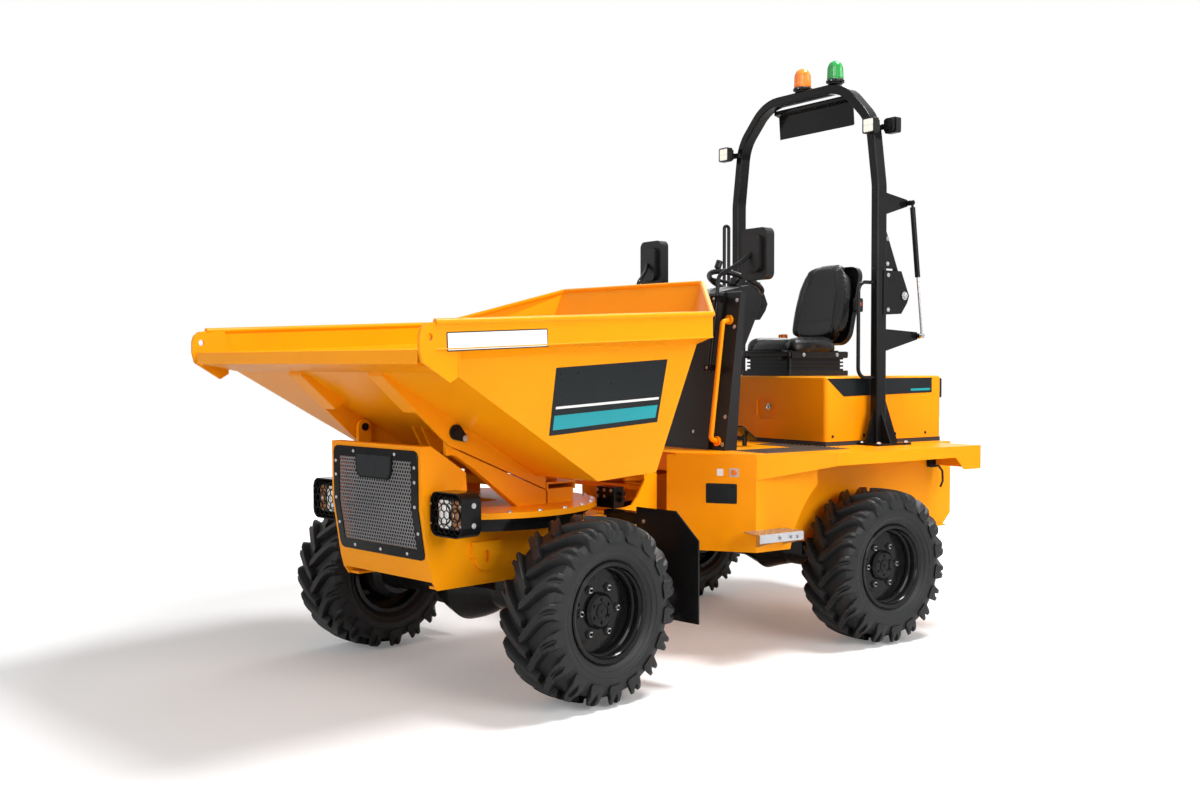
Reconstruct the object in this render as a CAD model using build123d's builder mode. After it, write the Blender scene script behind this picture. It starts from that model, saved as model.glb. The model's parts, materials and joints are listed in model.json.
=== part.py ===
from build123d import *
import os
from math import cos, hypot, radians, sin, sqrt

# Articulated electric site dumper with a folding roll hoop. All sizes in millimetres.
# Every piece is drawn on the straight machine: origin on the ground below the front axle,
# +X forward, +Y left, +Z up. The front half is turned about the pivot when it is written.

# ---- Driving dimensions -------------------------------------------------------------------
WHEELBASE = 1952.0
TRACK = 1506.0
PIVOT_X = -904.0            # articulation axis
STORED_STEER = 9.2          # degrees to the left, as the machine is parked
STEER_LOCK = 33.0           # degrees each way from straight

TYRE_RADIUS = 380.0
TYRE_WIDTH = 264.0
RIM_RADIUS = 194.0
RIM_WIDTH = 244.0
AXLE_TUBE_R = 70.0
HUB_DRUM_R = 130.0
SPINDLE_R = 45.0

HULL_HALF = 560.0           # rear hull, outside
HULL_REAR_X = -2765.0
BULKHEAD_X = -1250.0
HULL_BOTTOM_Z = 500.0
HULL_WALL = 8.0
DECK_Z = 955.0              # top of the footplate
DECK_SHEET = 10.0
DECK_HALF = 880.0
FENDER_REAR_X = -2615.0
SKIRT_SHEET = 6.0

COVER_HALF = 490.0
COVER_FRONT_X = -1880.0
COVER_TOP_Z = 1313.0
COVER_WALL = 5.0

CONSOLE_HALF = 150.0
SCREEN_HALF = 326.0
SCREEN_TOP_Z = 1735.0
SCREEN_SHEET = 60.0
WHEEL_RIM_R = 160.0         # hand wheel

ROPS_X = -2205.0            # middle plane of the roll hoop
ROPS_HALF = 546.0
POST_DEPTH = 70.0
POST_WIDTH = 50.0
ROPS_TOP_Z = 2882.0
FOLD_X = -2365.0
FOLD_Z = 1735.0
ROPS_SPLIT_Z = 1872.0

FRAME_HALF = 326.0          # front chassis, outside
FRAME_PLATE = 10.0
NOSE_X = 527.0
NOSE_TOP_Z = 1046.0
FRAME_BOTTOM_Z = 455.0
FRAME_TOP_Z = 690.0
TURNTABLE_Z = 745.0
TURNTABLE_R = 520.0

TIP_X = 368.0               # skip hinge
TIP_Z = 1100.0
TIP_PIN_R = 17.0
SKIP_FLOOR_Z = 895.0        # underside of the level part of the floor
SKIP_SIDE_Y = 733.0         # outside of the side wall at that height
SKIP_SIDE_SLOPE = 0.129
SKIP_WALL = 8.0
SKIP_FRONT_X = 905.0
SKIP_REAR_X = -1009.0
SKIP_REAR_Z = 1762.0
BAND_Y = 850.0              # flared band at its front end
EYE_R = 14.0

# ---- Clearances ---------------------------------------------------------------------------
FIT = 0.1                   # running fit of a pin in its bore, radial
SEAT = 0.3                  # between curved or soft faces that rest together
MOVE = 5.0                  # between pieces that pass each other
SIDE = 3.0                  # beside the eye of a ram

# ---- Derived places -----------------------------------------------------------------------
AXLE_Z = TYRE_RADIUS
REAR_AXLE_X = -WHEELBASE
WHEEL_Y = TRACK / 2
ARCH_R = TYRE_RADIUS + 165
DECK_UNDER_Z = DECK_Z - DECK_SHEET


# ---- Helpers: plain solids made outside the sub-part blocks ---------------------------------
def slab_xz(outline, y_low, y_high):
    """Flat plate with its outline in X and Z, between two Y values."""
    with BuildPart() as slab:
        with BuildSketch(Plane.XZ.offset(-y_high)):
            Polygon(*outline)
        extrude(amount=y_high - y_low)
    return slab.part


def slab_xy(outline, z_low, z_high):
    """Flat plate with its outline in X and Y, between two heights."""
    with BuildPart() as slab:
        with BuildSketch(Plane.XY.offset(z_low)):
            Polygon(*outline)
        extrude(amount=z_high - z_low)
    return slab.part


def slab_yz(outline, x_low, x_high):
    """Flat plate with its outline in Y and Z, between two X values."""
    with BuildPart() as slab:
        with BuildSketch(Plane.YZ.offset(x_low)):
            Polygon(*outline)
        extrude(amount=x_high - x_low)
    return slab.part


def block(x_range, y_range, z_range):
    """Rectangular block between pairs of X, Y and Z."""
    (x0, x1), (y0, y1) = x_range, y_range
    return slab_xy([(x0, y0), (x1, y0), (x1, y1), (x0, y1)], *z_range)


def rod(start, end, radius, bore=0.0):
    """Round bar from one point to another, with a bore if one is given."""
    path = Vector(*end) - Vector(*start)
    with BuildPart() as bar:
        with BuildSketch(Plane(origin=start, z_dir=path)):
            Circle(radius)
            if bore:
                Circle(bore, mode=Mode.SUBTRACT)
        extrude(amount=path.length)
    return bar.part


def disc_y(x, z, y_low, y_high, radius, bore=0.0):
    """Round plate or boss with its axis along Y."""
    return rod((x, y_low, z), (x, y_high, z), radius, bore)


def bent_tube(points, bend, radius):
    """Round tube along straight runs joined by arcs."""
    with BuildPart() as tube:
        with BuildLine() as path:
            FilletPolyline(*points, radius=bend)
        with BuildSketch(Plane(origin=path.line @ 0, z_dir=path.line % 0)):
            Circle(radius)
        sweep()
    return tube.part


def both_sides(pieces):
    """The pieces and their mirror images across the middle plane."""
    return list(pieces) + [piece.mirror(Plane.XZ) for piece in pieces]


def lean(start, end, value):
    """X of the line through two (x, z) points at a height."""
    return start[0] + (end[0] - start[0]) * (value - start[1]) / (end[1] - start[1])


# ---- Wheels ---------------------------------------------------------------------------------
HUB_REACH = 74.0            # hub nose outside the wheel's middle plane
DISC_OFFSET = 42.0
DISC_SHEET = 8.0
SPINDLE_END = 52.0          # end of the spindle, outside the wheel's middle plane

with BuildPart() as tyre:
    half = TYRE_WIDTH / 2
    bead = RIM_WIDTH / 2 - 8.3
    bead_r = RIM_RADIUS + SEAT
    with BuildSketch(Plane.YZ):
        with BuildLine():
            Line((bead, bead_r), (bead, RIM_RADIUS + 16))
            ThreePointArc((bead, RIM_RADIUS + 16), (half, TYRE_RADIUS - 95), (half - 14, TYRE_RADIUS - 25))
            Line((half - 14, TYRE_RADIUS - 25), (half - 32, TYRE_RADIUS - 8))
            ThreePointArc((half - 32, TYRE_RADIUS - 8), (0, TYRE_RADIUS), (32 - half, TYRE_RADIUS - 8))
            Line((32 - half, TYRE_RADIUS - 8), (14 - half, TYRE_RADIUS - 25))
            ThreePointArc((14 - half, TYRE_RADIUS - 25), (-half, TYRE_RADIUS - 95), (-bead, RIM_RADIUS + 16))
            Line((-bead, RIM_RADIUS + 16), (-bead, bead_r))
            Line((-bead, bead_r), (18 - bead, bead_r))
            Line((18 - bead, bead_r), (18 - bead, RIM_RADIUS + 18))
            ThreePointArc(
                (18 - bead, RIM_RADIUS + 18), (16 - half, TYRE_RADIUS - 95), (30 - half, TYRE_RADIUS - 40)
            )
            ThreePointArc((30 - half, TYRE_RADIUS - 40), (0, TYRE_RADIUS - 22), (half - 30, TYRE_RADIUS - 40))
            ThreePointArc(
                (half - 30, TYRE_RADIUS - 40), (half - 16, TYRE_RADIUS - 95), (bead - 18, RIM_RADIUS + 18)
            )
            Line((bead - 18, RIM_RADIUS + 18), (bead - 18, bead_r))
            Line((bead - 18, bead_r), (bead, bead_r))
        make_face()
    revolve(axis=Axis.Y)

with BuildPart() as rim:
    edge = RIM_WIDTH / 2
    with BuildSketch(Plane.YZ):
        Polygon(
            (-edge, RIM_RADIUS + 13), (8 - edge, RIM_RADIUS + 13), (8 - edge, RIM_RADIUS), (-62, RIM_RADIUS),
            (-50, RIM_RADIUS - 29), (30, RIM_RADIUS - 29), (42, RIM_RADIUS), (edge - 8, RIM_RADIUS),
            (edge - 8, RIM_RADIUS + 13), (edge, RIM_RADIUS + 13), (edge, RIM_RADIUS - 6),
            (48, RIM_RADIUS - 6),
            (36, RIM_RADIUS - 35), (-54, RIM_RADIUS - 35), (-66, RIM_RADIUS - 6), (-edge, RIM_RADIUS - 6),
        )
        Polygon(
            (DISC_OFFSET, 0), (DISC_OFFSET + DISC_SHEET, 0), (DISC_OFFSET + DISC_SHEET, RIM_RADIUS - 3),
            (DISC_OFFSET, RIM_RADIUS - 19),
        )
        Polygon((-8, 0), (HUB_REACH, 0), (HUB_REACH, 62), (HUB_REACH - 12, 75), (-8, 75))
    revolve(axis=Axis.Y)
    with BuildSketch(Plane.XZ.offset(8)):
        Circle(SPINDLE_R + FIT)
    extrude(amount=-8 - SPINDLE_END - 1, mode=Mode.SUBTRACT)

WHEELS = (
    # name, axle x, side, on the front half
    ("front_left", 0.0, 1, True),
    ("front_right", 0.0, -1, True),
    ("rear_left", REAR_AXLE_X, 1, False),
    ("rear_right", REAR_AXLE_X, -1, False),
)


def rigid_axle(axle_x, bulge_r, pad_top):
    """One rigid axle with its differential, hub drums, spindles and spring pads."""
    drum_out = WHEEL_Y - 13
    profile_plane = Plane(origin=(axle_x, 0, AXLE_Z), x_dir=(0, 1, 0), z_dir=(1, 0, 0))
    pads = both_sides([block((axle_x - 80, axle_x + 80), (250, 330), (AXLE_Z, pad_top))])
    with BuildPart() as axle:
        with BuildSketch(profile_plane):
            with BuildLine():
                Polyline(
                    (0, 0), (WHEEL_Y + SPINDLE_END, 0), (WHEEL_Y + SPINDLE_END, SPINDLE_R),
                    (drum_out, SPINDLE_R),
                    (drum_out, HUB_DRUM_R - 20), (drum_out - 20, HUB_DRUM_R), (HULL_HALF + 40, HUB_DRUM_R),
                    (HULL_HALF + MOVE, HUB_DRUM_R - 25), (HULL_HALF + MOVE, AXLE_TUBE_R + 12),
                    (430, AXLE_TUBE_R), (bulge_r + 60, AXLE_TUBE_R),
                )
                ThreePointArc(
                    (bulge_r + 60, AXLE_TUBE_R), (bulge_r * 0.62, bulge_r * 0.82), (0, bulge_r),
                )
                Line((0, bulge_r), (0, 0))
            make_face()
        revolve(axis=Axis((axle_x, 0, AXLE_Z), (0, 1, 0)))
        mirror(about=Plane.XZ)
        add(pads)
    return axle


front_axle = rigid_axle(0.0, 148.0, FRAME_BOTTOM_Z)
rear_axle = rigid_axle(REAR_AXLE_X, 116.0, HULL_BOTTOM_Z)

# ---- Articulation ---------------------------------------------------------------------------
YOKE_R = 75.0
PIVOT_PIN_R = 30.0
YOKES = (
    # lower face of the rear plate, of the front ear below it and of the front ear above it
    (800.0, 775.0, 830.0),
    (500.0, 475.0, 530.0),
)
YOKE_SHEET = 25.0
EAR_SHEET = 20.0


def pivot_tongue(root_x, root_half, z_low, z_high):
    """Plate from a straight root to a rounded eye about the articulation axis."""
    with BuildPart() as tongue:
        with BuildSketch(Plane.XY.offset(z_low)):
            with BuildLine():
                side = 1 if root_x > PIVOT_X else -1
                Polyline(
                    (PIVOT_X, YOKE_R), (PIVOT_X + side * YOKE_R, YOKE_R + 10), (root_x, root_half),
                    (root_x, -root_half), (PIVOT_X + side * YOKE_R, -YOKE_R - 10), (PIVOT_X, -YOKE_R),
                )
                ThreePointArc((PIVOT_X, -YOKE_R), (PIVOT_X - side * YOKE_R, 0), (PIVOT_X, YOKE_R))
            make_face()
        extrude(amount=z_high - z_low)
    return tongue.part


pin_bores = [rod((PIVOT_X, 0, 430), (PIVOT_X, 0, 870), PIVOT_PIN_R + FIT)]

with BuildPart() as pivot_pins:
    for rear_z, lower_z, upper_z in YOKES:
        with BuildSketch(Plane.XY.offset(lower_z - 8)):
            with Locations((PIVOT_X, 0)):
                Circle(PIVOT_PIN_R)
        extrude(amount=upper_z + EAR_SHEET + 8 - lower_z + 8)
        with BuildSketch(Plane.XY.offset(upper_z + EAR_SHEET + 1)):
            with Locations((PIVOT_X, 0)):
                Circle(PIVOT_PIN_R + 14)
        extrude(amount=12)

# ---- Rear chassis ---------------------------------------------------------------------------
CHEEK_IN = 358.0
CHEEK_OUT = 715.0
CHEEK_FRONT_X = -950.0
CHEEK_SIDE_X = -1200.0
ARCH_TOP_Z = 795.0
CHEEK_REAR_X = REAR_AXLE_X + sqrt(ARCH_R**2 - (ARCH_TOP_Z - AXLE_Z)**2)
STEER_RAM_Z = 640.0
STEER_BASE = (-1215.0, -150.0)
STEER_PIN_R = 15.0
STEER_BARREL_R = 30.0
STEER_ROD_R = 15.0
REAR_CHAMFER = 65.0
HITCH_X = HULL_REAR_X
HITCH_Z = 640.0
HITCH_PIN_R = 12.5

hull_outline = [
    (BULKHEAD_X, HULL_BOTTOM_Z), (BULKHEAD_X, DECK_UNDER_Z), (HULL_REAR_X, DECK_UNDER_Z),
    (HULL_REAR_X, HULL_BOTTOM_Z + REAR_CHAMFER), (HULL_REAR_X + REAR_CHAMFER, HULL_BOTTOM_Z),
]
cheek_outline = [
    (CHEEK_FRONT_X, CHEEK_IN), (CHEEK_SIDE_X, CHEEK_OUT), (CHEEK_REAR_X, CHEEK_OUT),
    (CHEEK_REAR_X, HULL_HALF), (BULKHEAD_X, HULL_HALF), (BULKHEAD_X, CHEEK_IN),
]
hull_core = slab_xz(
    [
        (BULKHEAD_X - HULL_WALL, HULL_BOTTOM_Z + HULL_WALL), (BULKHEAD_X - HULL_WALL, DECK_Z),
        (HULL_REAR_X + HULL_WALL, DECK_Z), (HULL_REAR_X + HULL_WALL, HULL_BOTTOM_Z + REAR_CHAMFER + 3),
        (HULL_REAR_X + REAR_CHAMFER + 3, HULL_BOTTOM_Z + HULL_WALL),
    ],
    HULL_WALL - HULL_HALF, HULL_HALF - HULL_WALL,
)
arches = both_sides([disc_y(REAR_AXLE_X, AXLE_Z, HULL_HALF, CHEEK_OUT + 5, ARCH_R)])
bearers = both_sides([
    block((-2640, BULKHEAD_X - HULL_WALL - 5), (250, 310), (HULL_BOTTOM_Z + HULL_WALL, HULL_BOTTOM_Z + 120)),
])
cheeks = both_sides([slab_xy(cheek_outline, HULL_BOTTOM_Z - 5, DECK_UNDER_Z)])
hull_flanges = both_sides([
    block((HULL_REAR_X + REAR_CHAMFER, CHEEK_REAR_X - 40), (HULL_HALF, HULL_HALF + 22),
          (HULL_BOTTOM_Z, HULL_BOTTOM_Z + HULL_WALL)),
])
yoke_tongues = [
    pivot_tongue(BULKHEAD_X, 120, rear_z, rear_z + YOKE_SHEET) for rear_z, lower_z, upper_z in YOKES
]
steer_lug = [
    slab_xy(
        [
            (BULKHEAD_X, STEER_BASE[1] - 45), (BULKHEAD_X, STEER_BASE[1] + 45),
            (STEER_BASE[0], STEER_BASE[1] + 24), (STEER_BASE[0] + 17, STEER_BASE[1] + 17),
            (STEER_BASE[0] + 24, STEER_BASE[1]), (STEER_BASE[0] + 17, STEER_BASE[1] - 17),
            (STEER_BASE[0], STEER_BASE[1] - 24),
        ],
        z_low, z_low + 12,
    )
    for z_low in (STEER_RAM_Z - STEER_BARREL_R - SIDE - 12, STEER_RAM_Z + STEER_BARREL_R + SIDE)
]
hitch_plates = [
    slab_xy([(HITCH_X, -70), (HITCH_X, 70), (HITCH_X - 45, 35), (HITCH_X - 45, -35)], z_low, z_low + 12)
    for z_low in (HITCH_Z - 40, HITCH_Z + 28)
]

with BuildPart() as rear_chassis:
    with BuildSketch(Plane.XZ.offset(-HULL_HALF)):
        Polygon(*hull_outline)
    extrude(amount=2 * HULL_HALF)
    add(hull_core, mode=Mode.SUBTRACT)
    add(bearers)
    add(cheeks)
    add(arches, mode=Mode.SUBTRACT)
    add(hull_flanges)
    with BuildSketch(Plane.YZ.offset(CHEEK_FRONT_X - 100)):
        with Locations((0, 905.5)):
            Rectangle(2 * CHEEK_IN + 72, 79)
    extrude(amount=75)
    add(yoke_tongues)
    add(steer_lug)
    add(pin_bores, mode=Mode.SUBTRACT)
    with BuildSketch(Plane.XY.offset(STEER_RAM_Z - STEER_BARREL_R - SIDE - 12)):
        with Locations(STEER_BASE):
            Circle(STEER_PIN_R)
    extrude(amount=2 * (STEER_BARREL_R + SIDE + 12))

# ---- Towing hitch at the back ----------------------------------------------------------------
with BuildPart() as tow_hitch:
    add(hitch_plates)
    with BuildSketch(Plane.XY.offset(HITCH_Z - 40)):
        with Locations((HITCH_X - 6, 0)):
            Rectangle(12, 140)
    extrude(amount=80)
    with BuildSketch(Plane.XY.offset(HITCH_Z - 45)):
        with Locations((HITCH_X - 27, 0)):
            Circle(HITCH_PIN_R + 0.5)
    extrude(amount=90, mode=Mode.SUBTRACT)

# ---- Footplate with its skirts and fenders ----------------------------------------------------
DECK_FRONT_X = -975.0
DECK_NOSE_HALF = 394.0
FENDER_FRONT_X = -1571.0
SKIRT_Z = 834.0
WELL_REAR_X = -2665.0       # opening above the battery
WELL_FRONT_X = -1915.0
WELL_HALF = 435.0

deck_outline = [
    (DECK_FRONT_X, DECK_NOSE_HALF), (CHEEK_SIDE_X, CHEEK_OUT), (FENDER_FRONT_X, DECK_HALF),
    (FENDER_REAR_X, DECK_HALF), (FENDER_REAR_X, HULL_HALF), (HULL_REAR_X, HULL_HALF),
]
deck_outline += [(x, -y) for x, y in reversed(deck_outline)]
fender_outline = [
    (CHEEK_SIDE_X, HULL_HALF + 5), (CHEEK_SIDE_X, CHEEK_OUT), (FENDER_FRONT_X, DECK_HALF),
    (FENDER_REAR_X, DECK_HALF), (FENDER_REAR_X, HULL_HALF + 5),
]
skirt_relief = [
    # keeps the hull side, the cheek side and the arch in the skirt free
    block((CHEEK_REAR_X - MOVE, CHEEK_SIDE_X + 1), (HULL_HALF, CHEEK_OUT + 1), (SKIRT_Z - 5, DECK_UNDER_Z)),
    block((FENDER_REAR_X + SKIRT_SHEET, CHEEK_SIDE_X + 1), (HULL_HALF, HULL_HALF + 20),
          (SKIRT_Z - 5, DECK_UNDER_Z)),
    slab_xz(
        [
            (CHEEK_SIDE_X, SKIRT_Z), (FENDER_FRONT_X, SKIRT_Z + 62), (-2420, SKIRT_Z + 64),
            (-2485, SKIRT_Z + 1), (-2485, SKIRT_Z - 20), (CHEEK_SIDE_X, SKIRT_Z - 20),
        ],
        HULL_HALF, DECK_HALF + 5,
    ),
]
with BuildPart() as skirt:
    with BuildSketch(Plane.XY.offset(SKIRT_Z)):
        Polygon(*fender_outline)
        offset(amount=-SKIRT_SHEET, kind=Kind.INTERSECTION, mode=Mode.SUBTRACT)
    extrude(amount=DECK_UNDER_Z - SKIRT_Z)
    add(skirt_relief, mode=Mode.SUBTRACT)
gussets = [
    slab_yz(
        [(HULL_HALF, DECK_UNDER_Z), (DECK_HALF - 10, DECK_UNDER_Z), (DECK_HALF - 10, DECK_UNDER_Z - 15),
         (HULL_HALF, DECK_UNDER_Z - 85)],
        x, x + SKIRT_SHEET,
    )
    for x in (-1750, -2100, -2450)
]
deck_parts = both_sides(gussets + [skirt.part])

with BuildPart() as footplate:
    with BuildSketch(Plane.XY.offset(DECK_UNDER_Z)):
        Polygon(*deck_outline)
        with Locations(((WELL_REAR_X + WELL_FRONT_X) / 2, 0)):
            Rectangle(WELL_FRONT_X - WELL_REAR_X, 2 * WELL_HALF, mode=Mode.SUBTRACT)
    extrude(amount=DECK_SHEET)
    add(deck_parts)

# ---- Access steps ----------------------------------------------------------------------------
STEP_OUT = 850.0
STEP_Z = 560.0
with BuildPart() as one_step:
    with BuildSketch(Plane.XY.offset(STEP_Z + 32)):
        Polygon(
            (CHEEK_SIDE_X, CHEEK_OUT), (-1125, CHEEK_OUT), (-1100, STEP_OUT - 30), (-1100, STEP_OUT),
            (-1370, STEP_OUT), (-1390, STEP_OUT - 20), (-1390, CHEEK_OUT),
        )
        with Locations((-1245, (CHEEK_OUT + STEP_OUT) / 2)):
            with GridLocations(42, 40, 6, 3):
                Circle(12, mode=Mode.SUBTRACT)
    extrude(amount=8)
    with BuildSketch(Plane.XZ.offset(-STEP_OUT)):
        Polygon((-1100, STEP_Z), (-1100, STEP_Z + 34), (-1370, STEP_Z + 34), (-1370, STEP_Z))
    extrude(amount=6)
    for x in (-1206, -1378):
        with BuildSketch(Plane.YZ.offset(x)):
            Polygon(
                (CHEEK_OUT, STEP_Z - 40), (CHEEK_OUT, STEP_Z + 34), (STEP_OUT - 3, STEP_Z + 34),
                (STEP_OUT - 3, STEP_Z),
            )
        extrude(amount=6)

with BuildPart() as access_steps:
    add(both_sides([one_step.part]))

# ---- Traction battery and the seal round its cover --------------------------------------------
BATTERY_X = (-2650.0, -1945.0)
BATTERY_HALF = 420.0
BATTERY_TOP_Z = 1240.0
SEAL_IN = 2.0
SEAL_WIDTH = 18.0
COVER_BOTTOM_Z = 978.0
COVER_REAR_X = -2770.0
HINGE_X = -2775.0
HINGE_Z = 985.0

with BuildPart() as traction_battery:
    with BuildSketch(Plane.XY.offset(HULL_BOTTOM_Z + 120)):
        with Locations((sum(BATTERY_X) / 2, 0)):
            Rectangle(BATTERY_X[1] - BATTERY_X[0], 2 * BATTERY_HALF)
    extrude(amount=BATTERY_TOP_Z - HULL_BOTTOM_Z - 120)
    chamfer(traction_battery.edges().filter_by(Axis.Z), 12)

with BuildPart() as cover_seal:
    seal_rear_x = HULL_REAR_X + 1
    seal_front_x = COVER_FRONT_X - SEAL_IN
    with BuildSketch(Plane.XY.offset(DECK_Z)):
        with Locations(((seal_rear_x + seal_front_x) / 2, 0)):
            Rectangle(seal_front_x - seal_rear_x, 2 * (COVER_HALF - SEAL_IN))
            Rectangle(
                seal_front_x - seal_rear_x - 2 * SEAL_WIDTH, 2 * (COVER_HALF - SEAL_IN - SEAL_WIDTH),
                mode=Mode.SUBTRACT,
            )
    extrude(amount=COVER_BOTTOM_Z - DECK_Z - SEAT)

# ---- Cover with the seat on it, hinged at the back ----------------------------------------------
LOCK_PANEL = (
    (-38, 1098), (-18, 1078), (98, 1078), (118, 1098), (118, 1178), (98, 1198), (-18, 1198), (-38, 1178),
)
lock_boss = [slab_yz(LOCK_PANEL, COVER_FRONT_X - 16, COVER_FRONT_X)]
lock_pocket = [
    slab_yz(
        [(40 + (y - 40) * 0.9, 1138 + (z - 1138) * 0.88) for y, z in LOCK_PANEL],
        COVER_FRONT_X - 8, COVER_FRONT_X + 1,
    ),
]
hinge_knuckles = both_sides([
    disc_y(HINGE_X, HINGE_Z, y, y + 70, 10) for y in (140, 360)
])
hinge_straps = both_sides([
    block((HINGE_X - 4, COVER_REAR_X + COVER_WALL), (y, y + 70), (HINGE_Z - 4, HINGE_Z + 26))
    for y in (140, 360)
])

with BuildPart() as power_cover:
    with BuildSketch(Plane.XY.offset(COVER_BOTTOM_Z)):
        with Locations(((COVER_FRONT_X + COVER_REAR_X) / 2, 0)):
            RectangleRounded(COVER_FRONT_X - COVER_REAR_X, 2 * COVER_HALF, 22)
    extrude(amount=COVER_TOP_Z - COVER_BOTTOM_Z)
    chamfer(power_cover.faces().sort_by(Axis.Z)[-1].edges(), 8)
    with BuildSketch(Plane.XY.offset(COVER_BOTTOM_Z - 1)):
        with Locations(((COVER_FRONT_X + COVER_REAR_X) / 2, 0)):
            RectangleRounded(
                COVER_FRONT_X - COVER_REAR_X - 2 * COVER_WALL, 2 * (COVER_HALF - COVER_WALL), 22 - COVER_WALL
            )
    extrude(amount=COVER_TOP_Z - COVER_WALL - COVER_BOTTOM_Z + 1, mode=Mode.SUBTRACT)
    add(lock_boss)
    add(lock_pocket, mode=Mode.SUBTRACT)
    add(hinge_straps)
    add(hinge_knuckles)

with BuildPart() as tail_lights:
    add(both_sides([
        block((COVER_REAR_X - 34, COVER_REAR_X), (COVER_HALF - 92, COVER_HALF - 26),
              (COVER_TOP_Z - 122, COVER_TOP_Z - 14)),
    ]))
    fillet(tail_lights.edges().filter_by(Axis.X), 8)

# ---- Seat -------------------------------------------------------------------------------------
SEAT_FRONT_X = -1910.0
SEAT_HALF = 235.0
SEAT_TOP_Z = 1530.0
SUSPENSION_TOP_Z = 1441.0

with BuildPart() as seat_suspension:
    for low, high in ((COVER_TOP_Z, COVER_TOP_Z + 28), (SUSPENSION_TOP_Z - 22, SUSPENSION_TOP_Z)):
        with BuildSketch(Plane.XY.offset(low)):
            with Locations((-2135, 0)):
                RectangleRounded(450, 380, 12)
        extrude(amount=high - low)
    for step in range(4):
        with BuildSketch(Plane.XY.offset(COVER_TOP_Z + 28 + step * 20)):
            with Locations((-2135, 0)):
                RectangleRounded(416, 346, 16)
        extrude(amount=10)
        with BuildSketch(Plane.XY.offset(COVER_TOP_Z + 38 + step * 20)):
            with Locations((-2135, 0)):
                RectangleRounded(392, 322, 16)
        extrude(amount=min(10, SUSPENSION_TOP_Z - 22 - COVER_TOP_Z - 38 - step * 20))

with BuildPart() as seat_cushion:
    with BuildSketch(Plane.XZ.offset(-SEAT_HALF)):
        Polygon(
            (SEAT_FRONT_X, SUSPENSION_TOP_Z + SEAT), (SEAT_FRONT_X, SEAT_TOP_Z - 22),
            (SEAT_FRONT_X - 40, SEAT_TOP_Z),
            (-2290, SEAT_TOP_Z - 20), (-2290, SUSPENSION_TOP_Z + SEAT),
        )
    extrude(amount=2 * SEAT_HALF)
    fillet(seat_cushion.edges().filter_by(Axis.Y).sort_by(Axis.Z)[-3:], 18)
    fillet(seat_cushion.edges().filter_by(Axis.Z), 30)

with BuildPart() as seat_backrest:
    with BuildSketch(Plane.XZ.offset(-SEAT_HALF + 10)):
        Polygon(
            (-2291, SUSPENSION_TOP_Z + SEAT), (-2291, 1520), (-2392, 1944), (-2462, 1928), (-2378, 1540),
            (-2360, SUSPENSION_TOP_Z + SEAT),
        )
    extrude(amount=2 * SEAT_HALF - 20)
    fillet(seat_backrest.edges().filter_by(Axis.Y).sort_by(Axis.Z)[-2:], 28)

with BuildPart() as seat_belt_parts:
    with BuildSketch(Plane.XZ.offset(SEAT_HALF + 1)):
        with Locations((-2280, SEAT_TOP_Z - 30)):
            RectangleRounded(46, 96, 12)
    extrude(amount=26)
    with BuildSketch(Plane.XY.offset(SUSPENSION_TOP_Z - 14)):
        with Locations((-2280, -SEAT_HALF - 14)):
            Rectangle(34, 12)
    extrude(amount=30)
    with BuildSketch(Plane.XZ.offset(-SEAT_HALF - 16)):
        with Locations((-2379, 1700)):
            RectangleRounded(50, 76, 10)
    extrude(amount=26 - SEAT)
    with BuildSketch(Plane.XY.offset(SUSPENSION_TOP_Z - 14)):
        with Locations((-2280, -SEAT_HALF + 14)):
            Rectangle(40, 62)
    extrude(amount=12)

# ---- Front screen, console and steering ---------------------------------------------------------
SCREEN_FOOT_X = -1233.0
SCREEN_LEAN = 0.1308
CONSOLE_TOP = (
    (-1400.0, DECK_Z), (-1480.0, 1150.0), (-1615.0, 1437.0), (-1745.0, 1690.0), (-1750.0, 1740.0),
    (-1668.0, 1790.0),
)
POST_PLATE_OUT = 437.0
WHEEL_CENTRE = (-1697.0, 1806.0)
COLUMN_TILT = 23.5


def screen_x(height, behind=0.0):
    """X on the leaning front face of the screen, or behind it."""
    return SCREEN_FOOT_X - SCREEN_LEAN * (height - DECK_Z) - behind


screen_profile = [
    (screen_x(DECK_Z), DECK_Z), (screen_x(SCREEN_TOP_Z), SCREEN_TOP_Z),
    (screen_x(SCREEN_TOP_Z, SCREEN_SHEET), SCREEN_TOP_Z), (screen_x(DECK_Z, SCREEN_SHEET), DECK_Z),
]
with BuildPart() as front_screen:
    with BuildSketch(Plane.XZ.offset(-SCREEN_HALF)):
        Polygon(*screen_profile)
    extrude(amount=2 * SCREEN_HALF)
    fillet(front_screen.edges().filter_by(Axis.Y).sort_by(Axis.Z)[-2:], 14)

post_profile = [
    (screen_x(DECK_Z, 14), DECK_Z), (screen_x(SCREEN_TOP_Z, 14), SCREEN_TOP_Z),
    (screen_x(SCREEN_TOP_Z, 44), SCREEN_TOP_Z), (screen_x(DECK_Z, 90), DECK_Z),
]
with BuildPart() as screen_posts:
    add(both_sides([slab_xz(post_profile, SCREEN_HALF, POST_PLATE_OUT)]))
    fillet(screen_posts.edges().filter_by(Axis.X, reverse=True).group_by(Axis.Z)[-1].filter_by(Axis.Y), 10)

with BuildPart() as dash_console:
    with BuildSketch(Plane.XZ.offset(-CONSOLE_HALF)):
        Polygon(
            (screen_x(DECK_Z, SCREEN_SHEET), DECK_Z), *CONSOLE_TOP,
            (screen_x(SCREEN_TOP_Z, SCREEN_SHEET), SCREEN_TOP_Z),
        )
    extrude(amount=2 * CONSOLE_HALF)
    fillet(dash_console.edges().filter_by(Axis.Y).sort_by(Axis.X)[:2], 12)

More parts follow.
